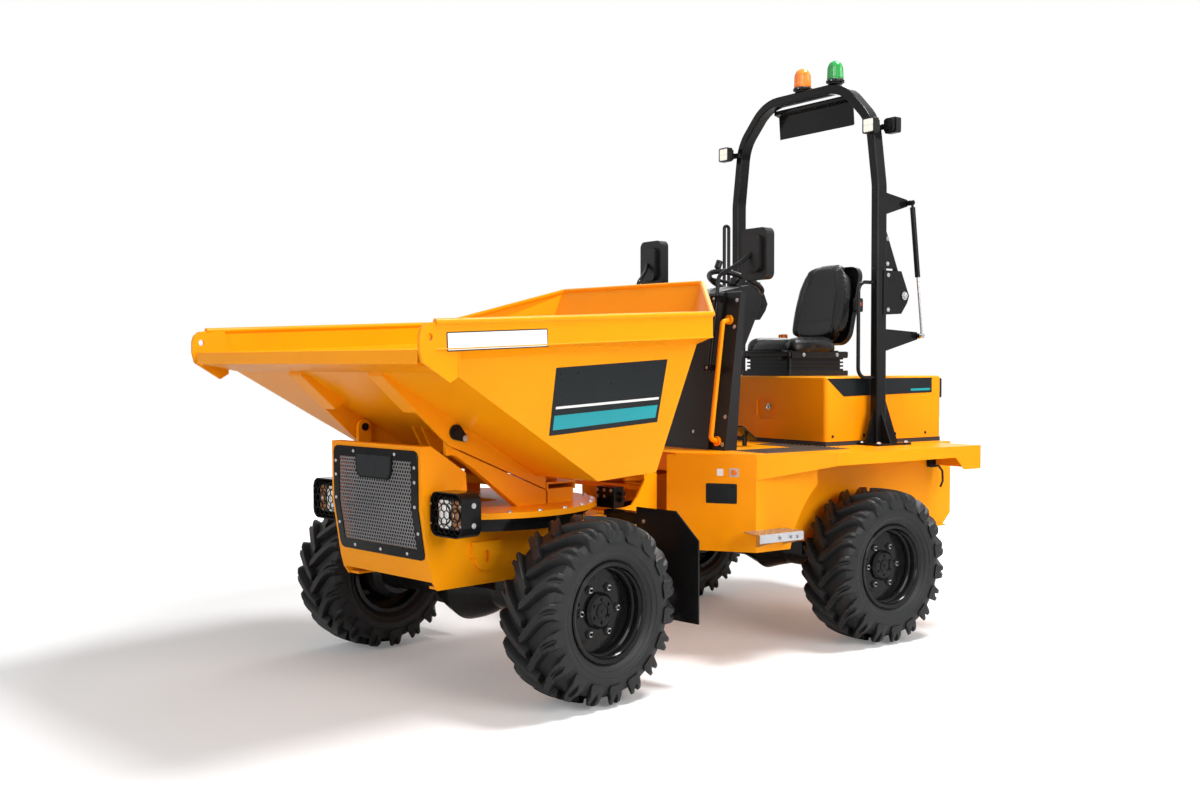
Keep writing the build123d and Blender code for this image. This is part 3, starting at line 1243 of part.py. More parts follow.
side_plane = Plane(origin=(0, SKIP_SIDE_Y, SKIP_FLOOR_Z), z_dir=(0, 1, -SKIP_SIDE_SLOPE))
corner_low = Vector(FLOOR_KINK[0], side_y(FLOOR_KINK[1]), FLOOR_KINK[1])
corner_fold = Vector(FOLD_REAR[0], side_y(FOLD_REAR[1]), FOLD_REAR[1])
corner_top = Vector(REAR_TOP[0], REAR_TOP_HALF, REAR_TOP[1])
corner_normal = (corner_top - corner_low).cross(corner_fold - corner_low).normalized()
if corner_normal.X > 0:
    corner_normal = corner_normal * -1
corner_plane = Plane(origin=corner_low, z_dir=corner_normal)
tub_outline = [FLOOR_BACK, FLOOR_KINK, FLOOR_FLAT, FLOOR_BEND, FLOOR_LIP, FOLD_FRONT, FOLD_REAR, REAR_TOP]
tub_room = [
    FLOOR_BACK, FLOOR_KINK, FLOOR_FLAT, FLOOR_BEND, (SKIP_FRONT_X + 300, FLOOR_LIP[1] + 55),
    (SKIP_FRONT_X + 300, 2400),
    (lean(FLOOR_BACK, REAR_TOP, 2400), 2400),
]


def wedge(outline, inset):
    """The outline carried across and cut by the side and corner planes, each moved in by the inset."""
    with BuildPart() as body:
        with BuildSketch(Plane.XZ.offset(-1100)):
            Polygon(*outline)
            if inset:
                offset(amount=-inset, kind=Kind.INTERSECTION)
        extrude(amount=1100)
        split(bisect_by=side_plane.offset(-inset), keep=Keep.BOTTOM)
        split(bisect_by=corner_plane.offset(-inset), keep=Keep.BOTTOM)
        mirror(about=Plane.XZ)
    return body.part


def sheet(*corners):
    """A flat sheet whose thickness is measured across the machine, inwards."""
    face = Face(Wire.make_polygon([Vector(*corner) for corner in corners], close=True))
    return Solid.extrude(face, Vector(0, -BAND_SHEET, 0))


fold_share = (FOLD_FRONT[0] - BAND_FRONT_X) / (FOLD_FRONT[0] - FOLD_REAR[0])
fold_front_z = FOLD_FRONT[1] + (FOLD_REAR[1] - FOLD_FRONT[1]) * fold_share
fold_front = (BAND_FRONT_X, side_y(fold_front_z), fold_front_z)
band_front_low = (BAND_FRONT_X, BAND_Y, BAND_FRONT_Z[0])
band_front_high = (BAND_FRONT_X, BAND_Y, BAND_FRONT_Z[1])
band_rear_low = (*BAND_REAR, BAND_REAR_Z[0])
band_rear_high = (*BAND_REAR, BAND_REAR_Z[1])
fold_rear = tuple(corner_fold)
top_rear = tuple(corner_top)
flare = [
    sheet(fold_front, band_front_low, fold_rear),
    sheet(band_front_low, band_rear_low, fold_rear),
    sheet(band_front_low, band_front_high, band_rear_high),
    sheet(band_front_low, band_rear_high, band_rear_low),
    sheet(fold_rear, band_rear_low, top_rear),
    sheet(band_rear_low, band_rear_high, top_rear),
]


def inboard(point, distance):
    """The point moved towards the middle plane."""
    return (point[0], point[1] - distance, point[2])


rim_front = inboard(band_front_high, BAND_SHEET / 2)
rim_corner = inboard(band_rear_high, BAND_SHEET / 2)
rim_top = inboard(top_rear, BAND_SHEET / 2)
rim_rods = [rod(rim_front, rim_corner, RIM_R), rod(rim_corner, rim_top, RIM_R)]
LUG_Y = BAND_Y - 15
EYE_X = 874.0
EYE_Z = 1475.0
eye_outline = [
    (743, 1335), (783, 1312), (SKIP_FRONT_X, 1385), (917, 1430), (917, 1478), (908, 1505), (886, 1523),
    (847, 1528), (760, 1528), (743, 1450),
]
RIB_Y = (331.0, 346.0)
rib_outline = [
    FLOOR_BEND, (725, 1332), (TIP_X + 47, 1060), (400, 1047), (TIP_X + 15, 1041), (-128, 833), (-128, 900),
    FLOOR_FLAT,
]
rib_box_outline = [FLOOR_BEND, (725, 1332), (556.5, 1184), (498, 1218)]


def floor_z(x):
    """Underside of the sloping floor."""
    slope = (FLOOR_BEND[1] - FLOOR_FLAT[1]) / (FLOOR_BEND[0] - FLOOR_FLAT[0])
    return FLOOR_FLAT[1] + (x - FLOOR_FLAT[0]) * slope


tip_head_lugs = both_sides([
    slab_xz(
        [
            (TIP_HEAD[0] - 70, floor_z(TIP_HEAD[0] - 70)), (TIP_HEAD[0] - 34, TIP_HEAD[1]),
            (TIP_HEAD[0] - 22, TIP_HEAD[1] - 24), (TIP_HEAD[0], TIP_HEAD[1] - 34),
            (TIP_HEAD[0] + 24, TIP_HEAD[1] - 24),
            (TIP_HEAD[0] + 110, floor_z(TIP_HEAD[0] + 110)),
        ],
        TIP_ROD_R + SIDE, TIP_ROD_R + SIDE + 14,
    ),
])
rim_rods_both = both_sides(rim_rods)
skip_lugs = both_sides([
    slab_xz(eye_outline, LUG_Y, BAND_Y),
    slab_xz(rib_outline, *RIB_Y),
    slab_xz(rib_box_outline, RIB_Y[0] - 82, RIB_Y[0]),
])
eye_bores = both_sides([disc_y(EYE_X, EYE_Z, LUG_Y - 20, BAND_Y + 20, EYE_R)])
head_bores = [disc_y(*TIP_HEAD, -60, 60, TIP_FOOT_PIN_R + FIT)]
rib_bores = both_sides([disc_y(TIP_X, TIP_Z, RIB_Y[0] - 1, RIB_Y[1] + 1, TIP_PIN_R + FIT)])
rear_rim = [rod(rim_top, (rim_top[0], -rim_top[1], rim_top[2]), RIM_R)]
rim_ends = []
for corner in (rim_corner, rim_top):
    with BuildPart() as ball:
        with BuildSketch(Plane(origin=corner, x_dir=(1, 0, 0), z_dir=(0, -1, 0))):
            Circle(RIM_R)
            with Locations((-RIM_R, 0)):
                Rectangle(2 * RIM_R, 2 * RIM_R, mode=Mode.SUBTRACT)
        revolve(axis=Axis(corner, (0, 0, 1)))
    rim_ends.append(ball.part)
rim_ends = both_sides(rim_ends)
tub_shell = wedge(tub_outline, 0)
tub_space = wedge(tub_room, SKIP_WALL)

with BuildPart() as skip:
    add(tub_shell)
    add(tub_space, mode=Mode.SUBTRACT)
    add(both_sides(flare))
    add(rim_rods_both)
    add(rear_rim)
    add(rim_ends)
    with BuildSketch(Plane.XZ.offset(-819)):
        with Locations((SKIP_FRONT_X - 20, 1405)):
            Rectangle(40, 50)
            Rectangle(30, 40, mode=Mode.SUBTRACT)
    extrude(amount=2 * 819)
    add(skip_lugs)
    add(tip_head_lugs)
    add(eye_bores, mode=Mode.SUBTRACT)
    add(head_bores, mode=Mode.SUBTRACT)
    add(rib_bores, mode=Mode.SUBTRACT)

KEEPER_TAIL = (324.0, 1073.0)
with BuildPart() as keeper:
    with BuildSketch(Plane.XZ.offset(-RIB_Y[1] - 8)):
        with Locations((TIP_X, TIP_Z)):
            Circle(32)
        with Locations(KEEPER_TAIL):
            Circle(14)
        make_hull()
    extrude(amount=8)

with BuildPart() as hinge_pins:
    add(both_sides([keeper.part, disc_y(TIP_X, TIP_Z, EAR_Y[0] - 6, RIB_Y[1] + 4, TIP_PIN_R)]))

# ---- Rams -----------------------------------------------------------------------------------------------
RAM_WALL = 8.0
GLAND = 20.0
PISTON = 10.0


class Ram:
    """A hydraulic ram between two eyes: a hollow barrel with its gland, and a rod with its piston."""

    def __init__(self, foot, head, eye_axis, pin_r, barrel_r, rod_r, closing):
        start, end = Vector(*foot), Vector(*head)
        length = (end - start).length
        along = (end - start).normalized()
        across = Vector(*eye_axis)
        neck = pin_r + 36
        barrel_end = length - closing - pin_r - 32
        rod_start = neck + closing + 2
        room_r = barrel_r - RAM_WALL

        def at(distance):
            return tuple(start + along * distance)

        def eye(centre, radius, half):
            middle = Vector(*centre)
            return rod(tuple(middle - across * half), tuple(middle + across * half), radius)

        self.barrel_parts = [
            eye(at(0), pin_r + 15, barrel_r),
            rod(at(pin_r + 8), at(neck), barrel_r - 6),
            rod(at(neck - 6), at(barrel_end), barrel_r),
            rod(at(barrel_end - GLAND), at(barrel_end), barrel_r + 5),
        ]
        self.barrel_holes = [
            eye(at(0), pin_r + FIT, barrel_r + 1),
            rod(at(neck), at(barrel_end - GLAND), room_r),
            rod(at(barrel_end - GLAND - 1), at(barrel_end + 1), rod_r + FIT),
        ]
        self.rod_parts = [
            rod(at(rod_start), at(length - pin_r - 4), rod_r),
            rod(at(rod_start), at(rod_start + PISTON), room_r - FIT),
            eye(at(length), pin_r + 14, rod_r),
        ]
        self.rod_holes = [eye(at(length), pin_r + FIT, rod_r + 1)]


tip_ram = Ram(
    (TIP_FOOT[0], 0, TIP_FOOT[1]), (TIP_HEAD[0], 0, TIP_HEAD[1]), (0, 1, 0),
    TIP_FOOT_PIN_R, TIP_BARREL_R, TIP_ROD_R, 0,
)

with BuildPart() as tip_ram_barrel:
    add(tip_ram.barrel_parts)
    add(tip_ram.barrel_holes, mode=Mode.SUBTRACT)

with BuildPart() as tip_ram_rod:
    add(tip_ram.rod_parts)
    add(tip_ram.rod_holes, mode=Mode.SUBTRACT)

# ---- Write each piece, the front half turned about the pivot, the origin under the whole's middle ----
PIECES = (
    # name, built piece, on the front half
    ("rear_chassis", rear_chassis.part, False),
    ("footplate", footplate.part, False),
    ("access_steps", access_steps.part, False),
    ("traction_battery", traction_battery.part, False),
    ("cover_seal", cover_seal.part, False),
    ("rear_axle", rear_axle.part, False),
    ("tow_hitch", tow_hitch.part, False),
    ("pivot_pins", pivot_pins.part, False),
    ("front_screen", front_screen.part, False),
    ("screen_posts", screen_posts.part, False),
    ("dash_console", dash_console.part, False),
    ("steering_column", steering_column.part, False),
    ("grab_rails", grab_rails.part, False),
    ("mirror_arms", mirror_arms.part, False),
    ("mirrors", mirrors.part, False),
    ("rops_lower_posts", rops_lower_posts.part, False),
    ("entry_handles", entry_handles.part, False),
    ("power_cover", power_cover.part, False),
    ("tail_lights", tail_lights.part, False),
    ("seat_suspension", seat_suspension.part, False),
    ("seat_cushion", seat_cushion.part, False),
    ("seat_backrest", seat_backrest.part, False),
    ("seat_belt_parts", seat_belt_parts.part, False),
    ("rops_hoop", rops_hoop.part, False),
    ("header_panel", header_panel.part, False),
    ("amber_beacon", amber_beacon.part, False),
    ("green_beacon", green_beacon.part, False),
    ("work_lights", work_lights.part, False),
    ("rops_strut_barrel", rops_strut_barrel.part, False),
    ("rops_strut_rod", rops_strut_rod.part, False),
    ("steering_wheel", steering_wheel.part, False),
    ("front_chassis", front_chassis.part, True),
    ("front_grille", front_grille.part, True),
    ("headlight_guards", headlight_guards.part, True),
    ("headlights", headlights.part, True),
    ("front_mudguards", front_mudguards.part, True),
    ("front_axle", front_axle.part, True),
    ("mounting_ring", mounting_ring.part, True),
    ("valve_block", valve_block.part, True),
    ("skip_frame", skip_frame.part, True),
    ("skip", skip.part, True),
    ("hinge_pins", hinge_pins.part, True),
    ("tip_ram_barrel", tip_ram_barrel.part, True),
    ("tip_ram_rod", tip_ram_rod.part, True),
)


def turned(piece):
    """The front half as the machine is parked, turned about the pivot."""
    return piece.rotate(Axis((PIVOT_X, 0, 0), (0, 0, 1)), STORED_STEER)


finished = {name: turned(piece) if front else piece for name, piece, front in PIECES}


def steer_ram_length(angle):
    """Distance between the steering ram's pins with the front half turned by an angle."""
    head = (Vector(*STEER_HEAD) - Vector(PIVOT_X, 0)).rotate(Axis.Z, angle) + Vector(PIVOT_X, 0)
    return (head - Vector(*STEER_BASE)).length


# The steering ram joins the two halves, so it is built between its pins as they are parked.
steer_foot = Vector(*STEER_BASE, STEER_RAM_Z)
steer_head = Vector(*STEER_HEAD, STEER_RAM_Z) - Vector(PIVOT_X, 0, 0)
steer_head = steer_head.rotate(Axis.Z, STORED_STEER) + Vector(PIVOT_X, 0, 0)
steer_ram = Ram(
    tuple(steer_foot), tuple(steer_head), (0, 0, 1), STEER_PIN_R, STEER_BARREL_R, STEER_ROD_R,
    steer_ram_length(STORED_STEER) - steer_ram_length(-STEER_LOCK),
)
with BuildPart() as steering_ram_barrel:
    add(steer_ram.barrel_parts)
    add(steer_ram.barrel_holes, mode=Mode.SUBTRACT)
with BuildPart() as steering_ram_rod:
    add(steer_ram.rod_parts)
    add(steer_ram.rod_holes, mode=Mode.SUBTRACT)
finished["steering_ram_barrel"] = steering_ram_barrel.part
finished["steering_ram_rod"] = steering_ram_rod.part

for name, axle_x, side, front in WHEELS:
    for kind, piece in (("tyre", tyre.part), ("rim", rim.part)):
        wheel = piece if side > 0 else piece.rotate(Axis.Z, 180)
        wheel = wheel.moved(Location((axle_x, side * WHEEL_Y, AXLE_Z)))
        finished[f"{kind}_{name}"] = turned(wheel) if front else wheel

everything = Compound(children=[Compound([piece]) for piece in finished.values()]).bounding_box()
middle_x = (everything.min.X + everything.max.X) / 2
middle_y = (everything.min.Y + everything.max.Y) / 2
ORIGIN = Vector(middle_x, middle_y, everything.min.Z)

os.makedirs("parts", exist_ok=True)
for name, piece in finished.items():
    placed = piece.moved(Location(ORIGIN * -1))
    placed.label = name
    export_step(placed, f"parts/{name}.step")
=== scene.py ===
import json
import math
from math import cos, pi, radians, sin

import bmesh
import bpy
from bpy.props import FloatProperty, FloatVectorProperty, IntProperty, PointerProperty
from mathutils import Matrix, Vector


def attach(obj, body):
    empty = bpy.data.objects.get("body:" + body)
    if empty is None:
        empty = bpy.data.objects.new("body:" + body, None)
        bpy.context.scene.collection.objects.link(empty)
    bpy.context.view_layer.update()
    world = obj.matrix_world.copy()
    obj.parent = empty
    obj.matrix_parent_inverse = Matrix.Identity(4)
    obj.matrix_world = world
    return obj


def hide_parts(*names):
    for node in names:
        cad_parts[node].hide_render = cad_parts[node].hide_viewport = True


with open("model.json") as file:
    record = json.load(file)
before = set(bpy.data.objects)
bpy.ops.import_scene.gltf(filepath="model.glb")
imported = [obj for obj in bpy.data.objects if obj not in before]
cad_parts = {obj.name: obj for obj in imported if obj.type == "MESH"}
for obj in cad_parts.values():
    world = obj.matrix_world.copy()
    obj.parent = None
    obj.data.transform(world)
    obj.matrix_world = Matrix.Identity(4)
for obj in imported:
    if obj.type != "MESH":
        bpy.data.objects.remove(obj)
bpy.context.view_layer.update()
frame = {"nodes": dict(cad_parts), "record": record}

bl_info = {
    "name": "Site Dumper Finishing",
    "version": (1, 0, 0),
    "blender": (4, 5, 0),
    "location": "View3D > Sidebar > Dumper",
    "description": "Tyres, grille, lamps, seat, plates, fixings and finishes for an articulated site dumper",
    "category": "Object",
}

# The halves of the machine are laid out straight, in millimetres, with the origin on the ground
# under the front axle, X forward and Y to the left. The front half is parked turned on the pivot.
PIVOT = Vector((-904.0, 0.0, 0.0))
MIDDLE = Vector((-890.263, 122.598, 0.0))
PARKED_TURN = radians(9.2)
REAR = Matrix.Scale(0.001, 4) @ Matrix.Translation(-MIDDLE)
FRONT = (
    REAR @ Matrix.Translation(PIVOT) @ Matrix.Rotation(PARKED_TURN, 4, "Z") @ Matrix.Translation(-PIVOT)
)
AXLE_Z = 380.0
REAR_AXLE_X = -1952.0
WHEEL_Y = 753.0
DECK_Z = 955.0
NOSE_X = 527.0
DISC_FACE = 50.0      # from a wheel's middle plane out to its disc
HUB_FACE = 74.0       # and to the face of its hub
STUD_CIRCLE = 102.5   # radius of the circle of wheel nuts
HOOP_X = -2205.0      # middle of the hoop's posts
COVER_SIDE_Y = 490.0  # outside of the power cover's walls
COVER_FRONT_X = -1880.0
TAIL_X = -2804.0
LAMP_X, LAMP_Y, LAMP_Z = 470.2, 437.5, 778.0  # middle of the left headlamp's face
TIP_PIN_X, TIP_PIN_Z = 368.0, 1100.0
WHEELS = (
    # name, axle x, side, half
    ("front_left", 0.0, 1, FRONT),
    ("front_right", 0.0, -1, FRONT),
    ("rear_left", REAR_AXLE_X, 1, REAR),
    ("rear_right", REAR_AXLE_X, -1, REAR),
)


# ---- Sizes and colours a user may change ----
def colour_property(name, description, default):
    """A colour that a user may change."""
    return FloatVectorProperty(
        name=name, description=description, default=default, subtype="COLOR", size=3, min=0.0, max=1.0
    )


class TYRE_PG_settings(bpy.types.PropertyGroup):
    lugs: IntProperty(name="Lugs", description="Lugs on each side of the tread", default=18, min=8, max=30)
    swing: FloatProperty(
        name="Lug swing", description="Turn of a lug from the middle to the shoulder",
        default=radians(19.0), subtype="ANGLE",
    )
    lug_width: FloatProperty(
        name="Lug width", description="Width of the lugs as a share of the usual one",
        default=1.0, subtype="FACTOR",
    )


class GRILLE_PG_settings(bpy.types.PropertyGroup):
    pitch: FloatProperty(
        name="Mesh pitch", description="Distance between holes of the grille",
        default=0.0175, subtype="DISTANCE",
    )
    guard_pitch: FloatProperty(
        name="Guard pitch", description="Distance between holes of the lamp guards",
        default=0.034, subtype="DISTANCE",
    )


class SEAT_PG_settings(bpy.types.PropertyGroup):
    puff: FloatProperty(
        name="Puff", description="How far a pad may swell", default=0.012, subtype="DISTANCE",
    )
    pressure: FloatProperty(
        name="Pressure", description="Pressure inside a pad", default=3.5, subtype="FACTOR",
    )


class PAINT_PG_settings(bpy.types.PropertyGroup):
    body: colour_property("Body", "Paint of the sheet metal", (0.96, 0.345, 0.002))
    body_shade: colour_property("Body shade", "Slightly darker tone in the paint", (0.92, 0.315, 0.002))
    frame_black: colour_property(
        "Frame black", "Gloss black of the hoop and brackets", (0.0055, 0.0055, 0.006)
    )
    rubber: colour_property("Rubber", "Tyre rubber", (0.0095, 0.010, 0.0108))
    stripe: colour_property("Stripe", "Stripe on the side panels", (0.0, 0.33, 0.38))
    dust: colour_property("Dust", "Dust that settles low down", (0.32, 0.27, 0.21))


class STAGE_PG_settings(bpy.types.PropertyGroup):
    lens: FloatProperty(name="Lens", description="Focal length in millimetres", default=38.18)
    floor: colour_property("Floor", "Colour of the floor", (0.82, 0.82, 0.82))


def settings(name):
    """One of the groups of values that a user may change."""
    return getattr(bpy.context.scene, name)


# ---- Shader groups and finishes ----
def shader_group(name, inputs, outputs):
    """A shader node group with named sockets, and its input and output nodes."""
    tree = bpy.data.node_groups.new(name, "ShaderNodeTree")
    for label, kind, value in inputs:
        tree.interface.new_socket(name=label, in_out="INPUT", socket_type=kind).default_value = value
    for label, kind in outputs:
        tree.interface.new_socket(name=label, in_out="OUTPUT", socket_type=kind)
    return tree, tree.nodes.new("NodeGroupInput"), tree.nodes.new("NodeGroupOutput")


def noise_node(tree, place, scale, detail):
    """Soft noise over a place, from 0 to 1."""
    node = tree.nodes.new("ShaderNodeTexNoise")
    node.inputs["Scale"].default_value = scale
    node.inputs["Detail"].default_value = detail
    tree.links.new(place, node.inputs["Vector"])
    return node.outputs["Fac"]


def maths(tree, operation, first, second, clamp=False):
    """A sum, product or other operation on two numbers or sockets."""
    node = tree.nodes.new("ShaderNodeMath")
    node.operation = operation
    node.use_clamp = clamp
    for socket, value in zip(node.inputs, (first, second)):
        if isinstance(value, (int, float)):
            socket.default_value = value
        else:
            tree.links.new(value, socket)
    return node.outputs[0]


def mixed(tree, share, first, second):
    """A colour between two others, by a share."""
    node = tree.nodes.new("ShaderNodeMix")
    node.data_type = "RGBA"
    tree.links.new(share, node.inputs["Factor"])
    tree.links.new(first, node.inputs[6])
    tree.links.new(second, node.inputs[7])
    return node.outputs[2]


def ramped(tree, value, low, high, to_low=0.0, to_high=1.0):
    """A value spread from one range to another, held at both ends."""
    node = tree.nodes.new("ShaderNodeMapRange")
    for label, number in (("From Min", low), ("From Max", high), ("To Min", to_low), ("To Max", to_high)):
        node.inputs[label].default_value = number
    tree.links.new(value, node.inputs["Value"])
    return node.outputs["Result"]


def make_sheet_group():
    """Sprayed paint: slow tone changes, orange peel, and a little dust low down."""
    tree, given, out = shader_group(
        "Sprayed Sheet",
        (("Colour", "NodeSocketColor", (1, 1, 1, 1)), ("Shade", "NodeSocketColor", (0.8, 0.8, 0.8, 1)),
         ("Dust Colour", "NodeSocketColor", (0.3, 0.3, 0.3, 1)), ("Dust", "NodeSocketFloat", 0.2),
         ("Gloss Floor", "NodeSocketFloat", 0.25), ("Peel", "NodeSocketFloat", 1.0)),
        (("Colour", "NodeSocketColor"), ("Roughness", "NodeSocketFloat"), ("Height", "NodeSocketFloat")),
    )
    place = tree.nodes.new("ShaderNodeTexCoord").outputs["Object"]
    slow = noise_node(tree, place, 2.3, 4.0)
    middle = noise_node(tree, place, 23.0, 5.0)
    tone = mixed(tree, ramped(tree, slow, 0.35, 0.68), given.outputs["Colour"], given.outputs["Shade"])
    split = tree.nodes.new("ShaderNodeSeparateXYZ")
    tree.links.new(place, split.inputs[0])
    low_down = ramped(tree, split.outputs["Z"], 0.15, 1.0, 1.0, 0.12)
    dusty = maths(tree, "MULTIPLY", low_down, ramped(tree, middle, 0.40, 0.72))
    dusty = maths(tree, "MULTIPLY", dusty, given.outputs["Dust"], True)
    tree.links.new(mixed(tree, dusty, tone, given.outputs["Dust Colour"]), out.inputs["Colour"])
    rough = maths(tree, "ADD", given.outputs["Gloss Floor"], maths(tree, "MULTIPLY", middle, 0.10))
    rough = maths(tree, "ADD", rough, maths(tree, "MULTIPLY", dusty, 0.5), True)
    tree.links.new(rough, out.inputs["Roughness"])
    peel = maths(tree, "MULTIPLY", noise_node(tree, place, 240.0, 2.0), given.outputs["Peel"])
    tree.links.new(peel, out.inputs["Height"])
    return tree


def make_grain_group():
    """Moulded or leather-like grain: cells of a chosen size, with tone and gloss that vary with them."""
    tree, given, out = shader_group(
        "Moulded Grain",
        (("Colour", "NodeSocketColor", (0.1, 0.1, 0.1, 1)), ("Rubbed", "NodeSocketColor", (0.2, 0.2, 0.2, 1)),
         ("Size", "NodeSocketFloat", 300.0), ("Gloss Floor", "NodeSocketFloat", 0.5),
         ("Wear", "NodeSocketFloat", 0.3)),
        (("Colour", "NodeSocketColor"), ("Roughness", "NodeSocketFloat"), ("Height", "NodeSocketFloat")),
    )
    place = tree.nodes.new("ShaderNodeTexCoord").outputs["Object"]
    cells = tree.nodes.new("ShaderNodeTexVoronoi")
    tree.links.new(place, cells.inputs["Vector"])
    tree.links.new(given.outputs["Size"], cells.inputs["Scale"])
    patch = ramped(tree, noise_node(tree, place, 6.0, 6.0), 0.42, 0.75)
    worn = maths(tree, "MULTIPLY", patch, given.outputs["Wear"], True)
    tree.links.new(mixed(tree, worn, given.outputs["Colour"], given.outputs["Rubbed"]), out.inputs["Colour"])
    rough = maths(tree, "ADD", given.outputs["Gloss Floor"], maths(tree, "MULTIPLY", patch, 0.12), True)
    tree.links.new(rough, out.inputs["Roughness"])
    tree.links.new(cells.outputs["Distance"], out.inputs["Height"])
    return tree


GROUPS = {}
FINISHES = {}


def finish(name, group, values, bump=0.1, reach=0.0004, **surface):
    """A material whose colour, roughness and bump come from one of the shader groups."""
    material = bpy.data.materials.new(name)
    material.use_nodes = True
    nodes, links = material.node_tree.nodes, material.node_tree.links
    shader = nodes["Principled BSDF"]
    effect = nodes.new("ShaderNodeGroup")
    effect.node_tree = GROUPS[group]
    effect.label = group
    for label, value in values.items():
        effect.inputs[label].default_value = (*value, 1.0) if isinstance(value, (tuple, list)) else value
    relief = nodes.new("ShaderNodeBump")
    relief.inputs["Strength"].default_value = bump
    relief.inputs["Distance"].default_value = reach
    links.new(effect.outputs["Height"], relief.inputs["Height"])
    links.new(relief.outputs["Normal"], shader.inputs["Normal"])
    links.new(effect.outputs["Colour"], shader.inputs["Base Color"])
    links.new(effect.outputs["Roughness"], shader.inputs["Roughness"])
    for label, value in surface.items():
        socket = shader.inputs[label.replace("_", " ")]
        socket.default_value = (*value, 1.0) if isinstance(value, (tuple, list)) else value
    FINISHES[name] = material


def mix_colours(first, second, share):
    """A colour that lies a share of the way from the first to the second."""
    return tuple(a + (b - a) * share for a, b in zip(first, second))


